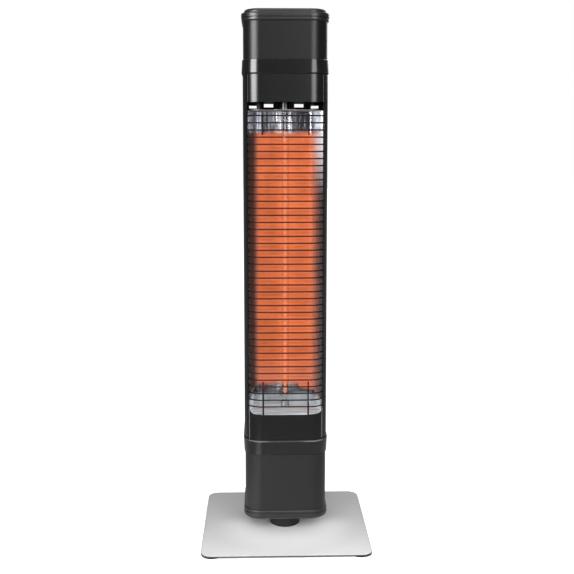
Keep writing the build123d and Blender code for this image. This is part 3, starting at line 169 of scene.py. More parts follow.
class HeaterGrille(bpy.types.PropertyGroup):
    """Sizes of the welded grille."""

    wire_count: IntProperty(name="Wires", description="Number of bent wires", default=43, min=2)
    wire_radius_mm: length_property("Wire radius", "Radius of each wire", 1.25)
    rod_radius_mm: length_property("Rod radius", "Radius of each upright rod", 1.5)
    bend_radius_mm: length_property("Bend radius", "Radius of a wire round the corner", 27.3)
    bend_angle: angle_property("Bend angle", "How far a wire turns at each end", 80)
    short_rod_mm: length_property("Short rods", "Distance of a short rod from the middle", 40.0)
    lower_wires: IntProperty(
        name="Lower short rods", description="Wires that a lower short rod ties", default=4, min=1
    )
    upper_wires: IntProperty(
        name="Upper short rods", description="Wires that an upper short rod ties", default=3, min=1
    )


class HeaterStudio(bpy.types.PropertyGroup):
    """Camera and lamps."""

    camera_mm: FloatVectorProperty(
        name="Camera",
        description="Camera position in millimetres",
        default=(-42.2, -1700.0, 720.0),
        size=3,
        subtype="XYZ",
    )
    yaw: angle_property("Yaw", "Turn towards +X", 1.56)
    pitch: angle_property("Pitch", "Tilt down", 7.75)
    lens_mm: FloatProperty(
        name="Lens", description="Focal length on a 36 mm sensor", default=59.27, min=1.0, unit="CAMERA"
    )
    shift: FloatProperty(name="Shift", description="Vertical shift of the lens", default=-0.035)
    left_box_watts: power_property("Left box", "Power of the left softbox", 43.0)
    right_box_watts: power_property("Right box", "Power of the right softbox", 13.5)
    top_box_watts: power_property("Top box", "Power of the overhead softbox", 12.0)
    rear_box_watts: power_property("Rear box", "Power of the softbox behind", 8.0)
    low_fill_watts: power_property("Low fill", "Power of the low front fill", 3.7)


# ---------------------------------------------------------------- shader maths
def connect(tree, value, socket):
    """Link a signal to a socket, or set the socket to a constant."""
    if isinstance(value, Signal):
        tree.links.new(value.socket, socket)
    else:
        socket.default_value = value


class Signal:
    """A socket that adds Math nodes when it is used in an expression."""

    def __init__(self, tree, socket):
        self.tree = tree
        self.socket = socket

    def apply(self, operation, *values):
        """Add one Math node and return its result."""
        node = self.tree.nodes.new("ShaderNodeMath")
        node.operation = operation
        for socket, value in zip(node.inputs, values):
            connect(self.tree, value, socket)
        return Signal(self.tree, node.outputs[0])

    def __add__(self, other):
        return self.apply("ADD", self, other)

    __radd__ = __add__

    def __sub__(self, other):
        return self.apply("SUBTRACT", self, other)

    def __rsub__(self, other):
        return self.apply("SUBTRACT", other, self)

    def __mul__(self, other):
        return self.apply("MULTIPLY", self, other)

    __rmul__ = __mul__

    def __neg__(self):
        return 0 - self

    def __abs__(self):
        return self.apply("ABSOLUTE", self)

    def at_most(self, limit):
        """The smaller of this and a limit."""
        return self.apply("MINIMUM", self, limit)

    def at_least(self, limit):
        """The larger of this and a limit."""
        return self.apply("MAXIMUM", self, limit)

    def zigzag(self, height):
        """Up and down between 0 and a height."""
        return self.apply("PINGPONG", self, height)


class Graph:
    """A node tree, with one method that adds any node to it."""

    def __init__(self, tree):
        self.tree = tree

    @staticmethod
    def find(sockets, key):
        """A socket by its index, its identifier or its name."""
        if isinstance(key, int):
            return sockets[key]
        for socket in sockets:
            if socket.identifier == key:
                return socket
        return sockets[key]

    def node(self, kind, settings=None, inputs=None, output=0):
        """Add a node, set it, feed its sockets and return one output."""
        node = self.tree.nodes.new(kind)
        for key, value in (settings or {}).items():
            setattr(node, key, value)
        for key, value in (inputs or {}).items():
            connect(self.tree, value, self.find(node.inputs, key))
        return Signal(self.tree, self.find(node.outputs, output))

    def send(self, node, **values):
        """Feed a node that the tree starts with. Socket names have underscores for spaces."""
        for name, value in values.items():
            connect(self.tree, value, self.tree.nodes[node].inputs[name.replace("_", " ")])

    def split(self, place):
        """The x, y and z of a place."""
        outputs = self.node("ShaderNodeSeparateXYZ", inputs={0: place}).socket.node.outputs
        return [Signal(self.tree, outputs[index]) for index in range(3)]

    def seen_by(self, *kinds):
        """1 for rays of these kinds, such as the camera's, and 0 for the rest."""
        rays = [self.node("ShaderNodeLightPath", output=f"Is {kind} Ray") for kind in kinds]
        total = rays[0]
        for ray in rays[1:]:
            total = total.at_least(ray)
        return total


class Finish(Graph):
    """A new material. Its place is in metres, in the heater's own axes at rest."""

    def __init__(self, name):
        self.material = bpy.data.materials.new(name)
        self.material.use_nodes = True
        super().__init__(self.material.node_tree)
        self.place = self.node("ShaderNodeTexCoord", output="Object")

    def axes(self):
        """The x, y and z of the place."""
        return self.split(self.place)

    def noise(self, scale, detail=2.0, roughness=0.5, place=None):
        """Smooth noise from 0 to 1, with scale features to the metre."""
        spot = place or self.place
        inputs = {"Vector": spot, "Scale": scale, "Detail": detail, "Roughness": roughness}
        return self.node("ShaderNodeTexNoise", None, inputs)

    def streaks(self, scales, detail=3.0, roughness=0.5):
        """Noise with its own number of features to the metre along x, y and z."""
        drawn = self.node("ShaderNodeVectorMath", {"operation": "MULTIPLY"}, {0: self.place, 1: scales})
        return self.noise(1.0, detail, roughness, drawn)

    def cells(self, scale):
        """Distance to the nearest of many scattered points, as a share of their spacing."""
        inputs = {"Vector": self.place, "Scale": scale}
        return self.node("ShaderNodeTexVoronoi", {"feature": "F1"}, inputs, "Distance")

    def waves(self, direction, scale, distortion=0.0):
        """Soft parallel bands from 0 to 1."""
        settings = {"wave_type": "BANDS", "bands_direction": direction}
        inputs = {"Vector": self.place, "Scale": scale, "Distortion": distortion, "Detail": 1.0}
        return self.node("ShaderNodeTexWave", settings, inputs, "Fac")

    def from_origin(self):
        """Distance from the origin in metres."""
        return self.node("ShaderNodeVectorMath", {"operation": "LENGTH"}, {0: self.place}, "Value")

    def step(self, value, low, high):
        """0 below low, 1 above high and smooth between them."""
        inputs = {"Value": value, "From Min": low, "From Max": high, "To Min": 0.0, "To Max": 1.0}
        return self.node("ShaderNodeMapRange", {"interpolation_type": "SMOOTHSTEP"}, inputs)

    def fall(self, value, low, high):
        """1 below low, 0 above high and smooth between them."""
        return 1 - self.step(value, low, high)

    def band(self, value, rise, fall):
        """1 between two edges, which are given by the start and end of each."""
        return self.step(value, *rise) * self.fall(value, *fall)

    def blend(self, factor, first, second):
        """Mix two colours."""
        colours = [tint if isinstance(tint, Signal) else (*tint, 1.0) for tint in (first, second)]
        inputs = {"Factor_Float": factor, "A_Color": colours[0], "B_Color": colours[1]}
        return self.node("ShaderNodeMix", {"data_type": "RGBA"}, inputs, "Result_Color")

    def tones(self, factor, colour, first, second):
        """Mix two shades of one colour."""
        return self.blend(factor, shade(colour, first), shade(colour, second))

    def surface(self, **values):
        """Feed the shader: signals where the surface varies, and constants elsewhere."""
        self.send("Principled BSDF", **values)

    def bump(self, height, strength, distance):
        """Raise the surface by a height from 0 to 1 times a distance in metres."""
        inputs = {"Height": height, "Strength": strength, "Distance": distance}
        self.surface(Normal=self.node("ShaderNodeBump", None, inputs))


# ---------------------------------------------------------------- finishes
def powder_coat(name, colour, roughness, ior=1.5, hem_at=None, hem_highlight_tone=BLACK):
    """Baked powder coat: fine orange peel, faint flecks and a slow drift of sheen.

    A painted highlight lies on the hems, from 0.9 mm inside hem_at outwards on both sides.
    """
    finish = Finish(name)
    fleck = finish.noise(2600.0)
    peel = finish.noise(700.0, 3.0)
    drift = finish.noise(7.0)
    tone = finish.tones(finish.step(fleck, 0.3, 0.75), colour, 0.82, 1.3)
    if hem_at is not None:
        x, _, _ = finish.axes()
        # Painted highlight on the hems.
        hem = finish.step(abs(x), hem_at - 1.7 * MM, hem_at - 0.9 * MM)
        tone = finish.blend(hem, tone, hem_highlight_tone)
    gloss = roughness + (drift - 0.5) * 0.07 + (fleck - 0.5) * 0.05
    finish.surface(Base_Color=tone, Roughness=gloss, IOR=ior)
    finish.bump(peel, 0.12, 0.06 * MM)
    return finish.material


def moulded_plastic(name, colour, roughness, lip_at=None, lip_highlight_tone=BLACK):
    """Moulded plastic with a fine spark-eroded grain.

    A painted highlight lies on a lip under the level lip_at, strongest near the corners.
    """
    finish = Finish(name)
    grain = finish.noise(1900.0)
    cloud = finish.noise(16.0, 3.0)
    tone = finish.tones(cloud, colour, 0.88, 1.15)
    if lip_at is not None:
        x, _, z = finish.axes()
        # Painted highlight along the upper edge, strongest near the corners.
        lip = finish.band(z, (lip_at - 2.5 * MM, lip_at - 1.9 * MM), (lip_at, lip_at + 1.0 * MM))
        near_corner = finish.band(abs(x), (20 * MM, 50 * MM), (62 * MM, 72 * MM))
        tone = finish.blend(lip * (0.2 + near_corner * 0.8), tone, lip_highlight_tone)
    finish.surface(Base_Color=tone, Roughness=roughness + (cloud - 0.5) * 0.08, IOR=1.5)
    finish.bump(grain, 0.15, 0.04 * MM)
    return finish.material


def gloss_plastic(name, colour, roughness=0.12):
    """Polished plastic with faint wiping marks."""
    finish = Finish(name)
    wipe = finish.streaks((220.0, 26.0, 90.0), 4.0)
    finish.surface(
        Base_Color=finish.tones(wipe, colour, 0.9, 1.12),
        Roughness=roughness + finish.step(wipe, 0.45, 0.8) * 0.08,
        IOR=1.49,
    )
    finish.bump(wipe, 0.05, 0.02 * MM)
    return finish.material


def silver_coat(name, colour, edge_shade_tone, edge_level):
    """Silver powder coat: metal flakes in a satin binder, and painted shade on its edge below a level.

    It carries painted shade towards the rear, and painted light round the front of the neck.
    """
    finish = Finish(name)
    _, y, z = finish.axes()
    flake = finish.cells(1500.0)
    grain = finish.noise(900.0, 3.0)
    drift = finish.noise(9.0, 3.0)
    tone = finish.tones(finish.step(flake + (drift - 0.5) * 0.2, 0.1, 0.9), colour, 1.06, 0.93)
    # Painted shade: darker towards the rear.
    tone = finish.blend(finish.step(y, -0.19, 0.15), tone, shade(colour, 0.76))
    # Painted light round the front of the neck.
    painted_light_round_neck = finish.fall(finish.from_origin(), 0.05, 0.15) * finish.fall(y, -0.02, 0.04)
    tone = finish.blend(painted_light_round_neck, tone, shade(colour, 1.42))
    # Painted shade on the edge below the level.
    tone = finish.blend(finish.fall(z, edge_level - 0.15 * MM, edge_level), tone, edge_shade_tone)
    finish.surface(
        Base_Color=tone,
        Roughness=0.46 + (drift - 0.5) * 0.06 + (grain - 0.5) * 0.08,
        Metallic=finish.fall(flake, 0.15, 0.55) * 0.35,
        IOR=1.45,
    )
    finish.bump(grain, 0.12, 0.04 * MM)
    return finish.material


def rubber(name, colour):
    """Matt rubber with a dusty bloom."""
    finish = Finish(name)
    bloom = finish.noise(60.0, 4.0)
    finish.surface(
        Base_Color=finish.tones(bloom, colour, 1.0, 1.9),
        Roughness=0.72 + (bloom - 0.5) * 0.15,
        Specular_IOR_Level=0.15,
    )
    finish.bump(finish.noise(1500.0), 0.25, 0.08 * MM)
    return finish.material


def plated_metal(name, colour, roughness=0.3, lay=(900.0, 900.0, 60.0), painted_glow=BLACK, painted_shade_at=None):
    """Plated or rolled metal with fine drawing lines and cloudy plating.

    It can carry a painted glow, and painted shade darkens it above a given level.
    """
    finish = Finish(name)
    lines = finish.streaks(lay)
    tone = finish.tones(finish.noise(45.0, 3.0), colour, 0.8, 1.12)
    if painted_shade_at is not None:
        _, _, z = finish.axes()
        # Painted shade: darker towards the given level and above it.
        tone = finish.blend(finish.step(z, painted_shade_at - 50 * MM, painted_shade_at), tone, shade(colour, 0.18))
    finish.surface(Base_Color=tone, Roughness=roughness + (lines - 0.5) * 0.18, Metallic=1.0)
    # Painted glow: emission, black unless a colour is given.
    finish.surface(Emission_Color=(*painted_glow, 1.0), Emission_Strength=1.0)
    finish.bump(lines, 0.12, 0.03 * MM)
    return finish.material


def wire_coat(name, colour, lamp):
    """Thin black enamel on wire, with a painted dull red glow where the lamp's light falls on it."""
    finish = Finish(name)
    x, _, z = finish.axes()
    bottom, top = lamp.glow_bottom_mm * MM, lamp.glow_top_mm * MM
    ripple = finish.noise(420.0, 3.0)
    before_lamp = finish.fall(abs(x), 46 * MM, 56 * MM)
    beside_glow = finish.band(z, (bottom + 14 * MM, bottom + 30 * MM), (top - 8 * MM, top + 6 * MM))
    # Painted glow of the lamp's light on the wires before it, fed as emission.
    painted_wire_glow = before_lamp * beside_glow * (0.7 + ripple * 0.6)
    finish.surface(
        Base_Color=finish.tones(ripple, colour, 1.0, 1.6),
        Roughness=0.55 + (ripple - 0.5) * 0.2,
        Specular_IOR_Level=0.2,
        Emission_Color=finish.blend(painted_wire_glow, BLACK, lamp.wire_painted_glow),
        Emission_Strength=1.0,
    )
    finish.bump(ripple, 0.2, 0.06 * MM)
    return finish.material


class LitSheet(Finish):
    """The reflector's finish, with a mask for each of its regions.

    lit is the flat back where the glow lies, wall the sides beside it, basin the foot of the sheet
    and foot the two corners in the basin that carry painted light.
    """

    # Upright ridges of painted reflection and painted glints: centre, half width in millimetres, strength.
    PAINTED_REFLECTION_RIDGES = ((-9.5, 7.0, 1.0), (-22.5, 13.0, 0.3), (8.8, 3.0, 0.3), (15.0, 10.0, 0.3))
    GLINTS = ((-8.8, 6.0, 1.0), (9.2, 3.0, 0.5), (-22.0, 9.0, 0.16), (16.5, 7.0, 0.16))
    THREADED_GLINT = (-30.0, 22.0, 0.45)

    def __init__(self, name, lamp):
        super().__init__(name)
        self.x, _, self.z = self.axes()
        self.bottom, self.top = lamp.glow_bottom_mm * MM, lamp.glow_top_mm * MM
        self.beaten = self.noise(95.0, 3.0, 0.6)
        self.threads = self.streaks((260.0, 200.0, 24.0), 3.0, 0.6)
        self.wander = (self.noise(38.0, 3.0) - 0.5) * (14 * MM)
        self.across = self.x + self.wander * 0.35
        sideways = self.wander * 0.25
        left_edge = self.fall(sideways - self.x, 44 * MM, 58 * MM)
        right_edge = self.fall(sideways + self.x, 46 * MM, 63 * MM)
        back = left_edge * right_edge
        sag = self.step(self.x, 24 * MM, 30 * MM) * (11 * MM)
        above_foot = self.step(self.z + self.wander + sag, self.bottom, self.bottom + 10 * MM)
        self.below_top = self.fall(self.z + self.wander, self.top - 6 * MM, self.top + 4 * MM)
        self.lit = back * above_foot * self.below_top
        self.wall = (1 - back) * above_foot * self.below_top
        self.right_side = self.step(self.x, -10 * MM, 10 * MM)
        foot_top = 250 * MM - self.right_side * (6 * MM)
        corner = self.step(abs(self.x), 55 * MM, 59 * MM)
        self.foot = self.fall(self.z - foot_top, 0.0, 10 * MM) * corner
        self.basin = self.fall(self.z + self.wander * 0.4, 243 * MM, 250 * MM)

    def ridges(self, *shapes):
        """The sum of upright ridges, each 1 at its middle times its strength, and 0 beside it."""
        return sum(
            self.fall(abs(self.across - centre * MM), half * 0.4 * MM, half * MM) * strength
            for centre, half, strength in shapes
        )

    def bare_metal(self, colour):
        """How pale its painted reflections are, from 0 to 1, and the sheet's colour with painted shade
        below.
        """
        threads = self.step(self.threads, 0.48, 0.8)
        left_edge = self.step(-self.x, 46 * MM, 50 * MM) * 0.4
        right_edge = self.step(self.across, 44 * MM, 50 * MM) * 0.35
        right_wall = self.step(self.x, 57 * MM, 63 * MM) * 0.7
        # Painted reflections: pale and dark upright streaks on the sheet.
        pale = self.ridges(*self.PAINTED_REFLECTION_RIDGES) + right_edge + right_wall + (threads + left_edge) * 0.22
        pale = pale.at_most(1.0)
        metal = self.blend(pale, (0.17, 0.173, 0.2), colour)
        # Painted shade below the glow.
        in_shade = self.fall(self.z, self.bottom - 16 * MM, self.bottom)
        in_shade = in_shade * self.fall(abs(self.x), 55 * MM, 59 * MM)
        return pale, self.blend(in_shade, metal, (0.1, 0.085, 0.09))

    def glow(self, lamp, echo_level, echo_pitch):
        """Painted orange glow on the back, with faint painted reflections of the wires and the tube's edge.
        """
        warm = self.step(self.streaks((14.0, 14.0, 55.0)), 0.3, 0.75)
        glow = self.tones(warm, lamp.glow, 0.86, 1.2)
        low = self.fall(self.z, self.bottom + 12 * MM, self.bottom + 60 * MM)
        glow = self.blend(low, glow, lamp.low_glow)
        # Painted reflections of the gaps between the wires.
        off_echo = (self.z - echo_level + self.wander * 0.08).zigzag(echo_pitch / 2)
        broken = self.step(self.streaks((55.0, 30.0, 160.0), 2.0), 0.4, 0.62)
        echo = self.fall(off_echo, 0.0, 2.1 * MM) * (0.25 + broken)
        # Painted reflection of the tube's edge.
        tube_edge = self.fall(abs(self.x - 7.6 * MM), 0.4 * MM, 1.4 * MM)
        shadow = (echo * 0.36 + tube_edge * 0.4).at_most(0.8)
        return self.blend(shadow, glow, shade(lamp.glow, 0.3))

    def glints(self):
        """How much painted glint the fluted sheet above the glow carries, from 0 to 1."""
        threads = self.step(self.threads, 0.3, 0.75)
        crest = self.ridges(*self.GLINTS) + self.step(self.across, 47 * MM, 56 * MM)
        crest = (crest + self.ridges(self.THREADED_GLINT) * threads).at_most(1.0)
        above = (1 - self.below_top) * self.step(self.z, self.top - 4 * MM, self.top + 10 * MM)
        sparkle = above * (0.6 + self.step(self.threads, 0.4, 0.75) * 0.6)
        return (sparkle * crest * (0.6 + self.step(self.beaten, 0.35, 0.6) * 0.5)).at_most(1.0)


def lit_aluminium(name, colour, lamp, echo_level, echo_pitch):
    """Bright rolled sheet with a beaten mottle, and a painted orange glow over its flat back.

    Above the glow its flutes show bright and dark, by relief and by painted reflections and glints. The
    left wall has painted shade, the right one a painted reflection that turns pale towards its top, and
    the basin painted light. Painted reflections of the wires come every echo_pitch from echo_level.
    """
    sheet = LitSheet(name, lamp)
    pale, metal = sheet.bare_metal(colour)
    # Painted light, fed as emission: reflections, glints, light in the basin and the glow over the back.
    fade = sheet.step(sheet.z, 610 * MM, 735 * MM)
    gleam = sheet.blend(fade * (0.5 + sheet.threads * 0.7), (0.006, 0.006, 0.007), (0.5, 0.5, 0.53))
    light = sheet.blend(sheet.right_side * sheet.wall, BLACK, gleam)
    light = sheet.blend(sheet.glints(), light, (0.6, 0.62, 0.68))
    light = sheet.blend(sheet.foot, light, (0.15, 0.17, 0.175))
    light = sheet.blend(sheet.basin * (1 - sheet.foot), light, (0.085, 0.09, 0.095))
    glow = sheet.glow(lamp, echo_level, echo_pitch)
    light = sheet.blend(sheet.lit * (1 - sheet.foot), light, glow)
    # Painted shade on the left wall, and a painted reflection on the right one, pale towards its top.
    right_wall = sheet.blend(fade, (0.05, 0.042, 0.04), (0.85, 0.85, 0.87))
    walls = sheet.blend(sheet.right_side, (0.03, 0.027, 0.027), right_wall)
    # Painted reflection in the basin, and the orange of the metal under the painted glow.
    metal = sheet.blend(sheet.basin, metal, (0.5, 0.5, 0.52))
    metal = sheet.blend(sheet.lit, metal, lamp.glow_lit_metal)
    metal = sheet.blend(sheet.wall, metal, walls)
    sheet.surface(
        Base_Color=sheet.blend(sheet.foot, metal, shade(colour, 0.8)),
        Metallic=1 - sheet.wall * 0.9,
        Roughness=0.08 + sheet.beaten * 0.12 + (1 - pale) * 0.1 + sheet.wall * 0.5 + sheet.lit * 0.4,
        Emission_Color=light,
        Emission_Strength=1.0,
    )
    flutes = sheet.streaks((46.0, 40.0, 7.0))
    sheet.bump(flutes * 0.85 + sheet.beaten * 0.15, 0.6, 6.0 * MM)
    return sheet.material


def satin_aluminium(name, colour, sheen):
    """Satin sheet with streaks across it, for the chamber's floor and ceiling, with painted light as
    emission.
    """
    finish = Finish(name)
    streaks = finish.streaks((16.0, 260.0, 260.0), 4.0, 0.6)
    beaten = finish.noise(110.0, 3.0, 0.6)
    silver = finish.step(streaks, 0.3, 0.7)
    finish.surface(
        Base_Color=finish.tones(silver, colour, 0.45, 1.0),
        Roughness=0.34 + beaten * 0.2,
        Metallic=0.3,
        # Painted light, none where the sheen is black.
        Emission_Color=finish.tones(silver, sheen, 0.2, 1.0),
        Emission_Strength=1.0,
    )
    finish.bump(streaks * 0.5 + beaten * 0.5, 0.5, 1.2 * MM)
    return finish.material


def quartz_glass(name):
    """Clear fused quartz with faint draw lines."""
    finish = Finish(name)
    draw = finish.streaks((900.0, 900.0, 12.0), 2.0)
    finish.surface(
        Base_Color=finish.blend(draw, grey(0.93), (1.0, 0.99, 0.98)),
        Roughness=0.01 + draw * 0.03,
        Transmission_Weight=1.0,
        IOR=1.02,
        Coat_Weight=0.3,
        Coat_IOR=1.46,
        Alpha=0.4,
    )
    return finish.material


def hot_carbon(name, colour):
    """Woven carbon strand that glows, darker in the gaps of its weave."""
    finish = Finish(name)
    weave = finish.waves("DIAGONAL", 260.0, 1.5)
    finish.surface(
        Base_Color=finish.blend(weave, (0.02, 0.01, 0.01), (0.06, 0.03, 0.02)),
        Roughness=0.6 + weave * 0.2,
        Specular_IOR_Level=0.1,
        Emission_Color=finish.tones(weave, colour, 0.78, 1.05),
        Emission_Strength=1.0,
    )
    return finish.material


def chalky(name, colour, roughness):
    """Acetal, nylon, ferrite or pulp: a fine tooth and soft clouds."""
    finish = Finish(name)
    cloud = finish.noise(70.0, 3.0)
    tone = finish.tones(cloud, colour, 0.86, 1.06)
    finish.surface(Base_Color=tone, Roughness=roughness + (cloud - 0.5) * 0.12)
    finish.bump(finish.noise(1300.0, 3.0), 0.25, 0.05 * MM)
    return finish.material


def lacquered_board(name, colour):
    """Circuit board: lacquer over copper tracks, with tinned pads."""
    finish = Finish(name)
    layout = {"Scale": 800.0, "Mortar Size": 0.09, "Brick Width": 0.9, "Row Height": 0.34}
    layout["Vector"] = finish.place
    tracks = finish.node("ShaderNodeTexBrick", {"offset": 0.37, "offset_frequency": 3}, layout, "Fac")
    tinned = finish.fall(finish.cells(210.0), 0.12, 0.16)
    lacquer = finish.tones(tracks, colour, 1.0, 2.1)
    finish.surface(
        Base_Color=finish.blend(tinned, lacquer, (0.6, 0.6, 0.58)),
        Metallic=tinned,
        Roughness=0.32 + tinned * 0.1,
    )
    finish.bump(tracks, 0.2, 0.03 * MM)
    return finish.material


def lit_lens(name, colour):
    """Translucent indicator lens, lit from below along its middle."""
    finish = Finish(name)
    x, _, _ = finish.axes()
    prism = finish.waves("X", 330.0)
    middle = finish.fall(abs(x), 4 * MM, 15 * MM)
    finish.surface(
        Base_Color=finish.tones(prism, colour, 0.8, 1.0),
        Roughness=0.14 + prism * 0.08,
        Emission_Color=finish.tones(middle, colour, 0.12, 0.75),
        Emission_Strength=1.0,
    )
    finish.bump(prism, 0.2, 0.1 * MM)
    return finish.material


def print_ink(name, colour):
    """Printed mark with a slightly uneven ink film."""
    finish = Finish(name)
    film = finish.noise(2400.0)
    tone = finish.tones(film, colour, 0.85, 1.0)
    finish.surface(Base_Color=tone, Roughness=0.45 + (film - 0.5) * 0.1)
    return finish.material


# ---------------------------------------------------------------- mesh helpers
def circle(radius, sides):
    """Points of a flat circle about the origin."""
    angles = [2 * math.pi * side / sides for side in range(sides)]
    return [(radius * math.cos(angle), radius * math.sin(angle)) for angle in angles]


def arc(centre, radius, start, end, steps):
    """Points of a flat arc, with its angles in degrees."""
    angles = [math.radians(start + (end - start) * step / steps) for step in range(steps + 1)]
    return [(centre[0] + radius * math.cos(angle), centre[1] + radius * math.sin(angle)) for angle in angles]


def rounded_square(reach, radius, steps=12):
    """Points of a rounded square that reaches so far from its middle, anticlockwise."""
    points = []
    for turn, (side_x, side_y) in enumerate(((1, 1), (-1, 1), (-1, -1), (1, -1))):
        centre = (side_x * (reach - radius), side_y * (reach - radius))
        points.extend(arc(centre, radius, 90.0 * turn, 90.0 * (turn + 1), steps))
    return points


class Shape:
    """Vertices and faces that grow one form at a time, in metres."""

    def __init__(self):
        self.points = []
        self.faces = []

    def loft(self, rings, closed_ring=True, capped=False):
        """Join rings of equal length by quads, and cap both ends on demand."""
        start, count = len(self.points), len(rings[0])
        self.points.extend(Vector(point) for ring in rings for point in ring)
        for row in range(len(rings) - 1):
            for column in range(count if closed_ring else count - 1):
                first = start + row * count + column
                second = start + row * count + (column + 1) % count
                self.faces.append([first, second, second + count, first + count])
        if capped:
            last = len(self.points) - count
            self.faces.append(list(range(start, start + count))[::-1])
            self.faces.append(list(range(last, last + count)))

    def tube(self, path, radius, sides=10):
        """A round bar along a path, with softly rounded ends."""
        nose, pinch = radius * 0.35, 0.6
        rings = []
        side = (path[1] - path[0]).orthogonal().normalized()
        last = len(path) - 1
        for index, point in enumerate(path):
            along = (path[min(index + 1, last)] - path[max(index - 1, 0)]).normalized()
            side = (side - along * side.dot(along)).normalized()
            across = along.cross(side)
            spokes = [side * x + across * y for x, y in circle(radius, sides)]
            if index == 0:
                rings.append([point - along * nose + spoke * pinch for spoke in spokes])
            rings.append([point + spoke for spoke in spokes])
            if index == last:
                rings.append([point + along * nose + spoke * pinch for spoke in spokes])
        self.loft(rings, capped=True)

    def nugget(self, centre, reach, sides=8, rows=5):
        """A small weld bead: an ellipsoid of three half sizes."""
        rings = []
        for row in range(1, rows):
            tilt = math.pi * row / rows
            level, belt = reach[2] * math.cos(tilt), circle(math.sin(tilt), sides)
            rings.append([centre + Vector((reach[0] * x, reach[1] * y, level)) for x, y in belt])
        self.loft(rings, capped=True)

    def lathe(self, profile, matrix, sides):
        """Turn (radius, height) points about the matrix's z axis."""
        rings = [
            [matrix @ Vector((x, y, height)) for x, y in circle(radius, sides)] for radius, height in profile
        ]
        self.loft(rings, capped=True)

    def pan_head(self, matrix, radius, height, rings=14, sides=56):
        """A domed screw head with a cross recess, standing on the matrix's z = 0."""
        arm_width, arm_length, arm_depth = radius * 0.17, radius * 0.62, height * 0.55

        def level(x, y):
            """Height of the head at a place: its dome less its recess."""
            dome = height * (1 - 0.42 * (math.hypot(x, y) / radius) ** 2.6)
            long_arm, short_arm = max(abs(x), abs(y)), min(abs(x), abs(y))
            inside = min(1.0, max(0.0, (arm_width - short_arm) / (arm_width * 0.35)))
            inside *= min(1.0, max(0.0, (arm_length - long_arm) / (arm_length * 0.25)))
            return dome - arm_depth * inside

        belts = [circle(radius * ring / rings, sides) for ring in range(rings, 0, -1)]
        skirt = [matrix @ Vector((x, y, 0.0)) for x, y in belts[0]]
        domed = [[matrix @ Vector((x, y, level(x, y))) for x, y in belt] for belt in belts]
        self.loft([skirt] + domed, capped=True)

    def ribbon(self, path, width, thickness, matrix, closed=False):
        """A flat stroke of ink along 2-D points in the matrix's xy plane."""
        count = len(path)
        rings = []
        for index, point in enumerate(path):
            before = path[(index - 1) % count] if closed or index else point
            after = path[(index + 1) % count] if closed or index < count - 1 else point
            run = (Vector(after) - Vector(before)).normalized()
            aside = Vector((-run.y, run.x)) * width / 2
            left, right = Vector(point) + aside, Vector(point) - aside
            corners = ((left, 0.0), (right, 0.0), (right, thickness), (left, thickness))
            rings.append([matrix @ Vector((spot.x, spot.y, level)) for spot, level in corners])
        if closed:
            rings.append(rings[0])
        self.loft(rings, capped=not closed)

    def piece(self, name, finish, body, slot, *replaced):
        """Make the object, give it its finish and set it on its body."""
        mesh = bpy.data.meshes.new(name)
        mesh.from_pydata([tuple(point) for point in self.points], [], self.faces)
        mesh.validate()
        mesh.polygons.foreach_set("use_smooth", [True] * len(mesh.polygons))
        mesh.set_sharp_from_angle(angle=SHARP_EDGE)
        mesh.materials.append(finish)
        made = bpy.data.objects.new(name, mesh)
        bpy.context.scene.collection.objects.link(made)
        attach(made, body)
        if replaced:
            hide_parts(*replaced)
        return made


def dress(finish, *nodes):
    """Give carried-over nodes their finish."""
    for node in nodes:
        for slot in frame["nodes"][node].material_slots:
            slot.material = finish


# ---------------------------------------------------------------- operators
class HEATER_OT_floor_plate(bpy.types.Operator):
    """Coat the floor plate and its feet"""

    bl_idname = "heater.floor_plate"
    bl_label = "Floor Plate"

    def execute(self, context):
        finishes = context.scene.heater_finishes
        bevel = 0.1 * MM
        # The coat paints shade on the plate's edge below this level.
        edge_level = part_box("base_plate")[1].z - bevel
        coat = silver_coat("silver_powder_coat", finishes.plate, finishes.plate_edge_shade, edge_level)
        dress(coat, "base_plate")
        dress(rubber("foot_rubber", finishes.feet), "base_feet")
        return {"FINISHED"}


class HEATER_OT_swivel(bpy.types.Operator):
    """Finish the neck, the spindle and its bearing"""

    bl_idname = "heater.swivel"
    bl_label = "Swivel"

    def execute(self, context):
        finishes = context.scene.heater_finishes
        dress(moulded_plastic("neck_plastic", finishes.neck, 0.5), "swivel_neck")
        dress(chalky("bearing_acetal", finishes.acetal, 0.42), "thrust_washer", "swivel_bush")
        turned = plated_metal("turned_zinc", finishes.zinc, 0.28, lay=(120.0, 120.0, 1400.0))
        dress(turned, "swivel_spindle", "neck_screws", "stop_pin", "spring_washer", "retaining_nut")
        return {"FINISHED"}


class HEATER_OT_mouldings(bpy.types.Operator):
    """Finish the rims, the collars and the lid"""

    bl_idname = "heater.mouldings"
    bl_label = "Rims, Collars and Lid"

    def execute(self, context):
        finishes = context.scene.heater_finishes
        lip_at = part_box("rear_housing")[0].z
        # The lower collar's upper edge gets a painted highlight.
        collars = moulded_plastic("collar_moulding", finishes.moulding, 0.2, lip_at, finishes.lip)
        dress(collars, "lower_collar", "upper_collar")
        dress(moulded_plastic("rim_moulding", finishes.rim, 0.36), "lower_end_cap", "top_rim", "top_lid")
        return {"FINISHED"}


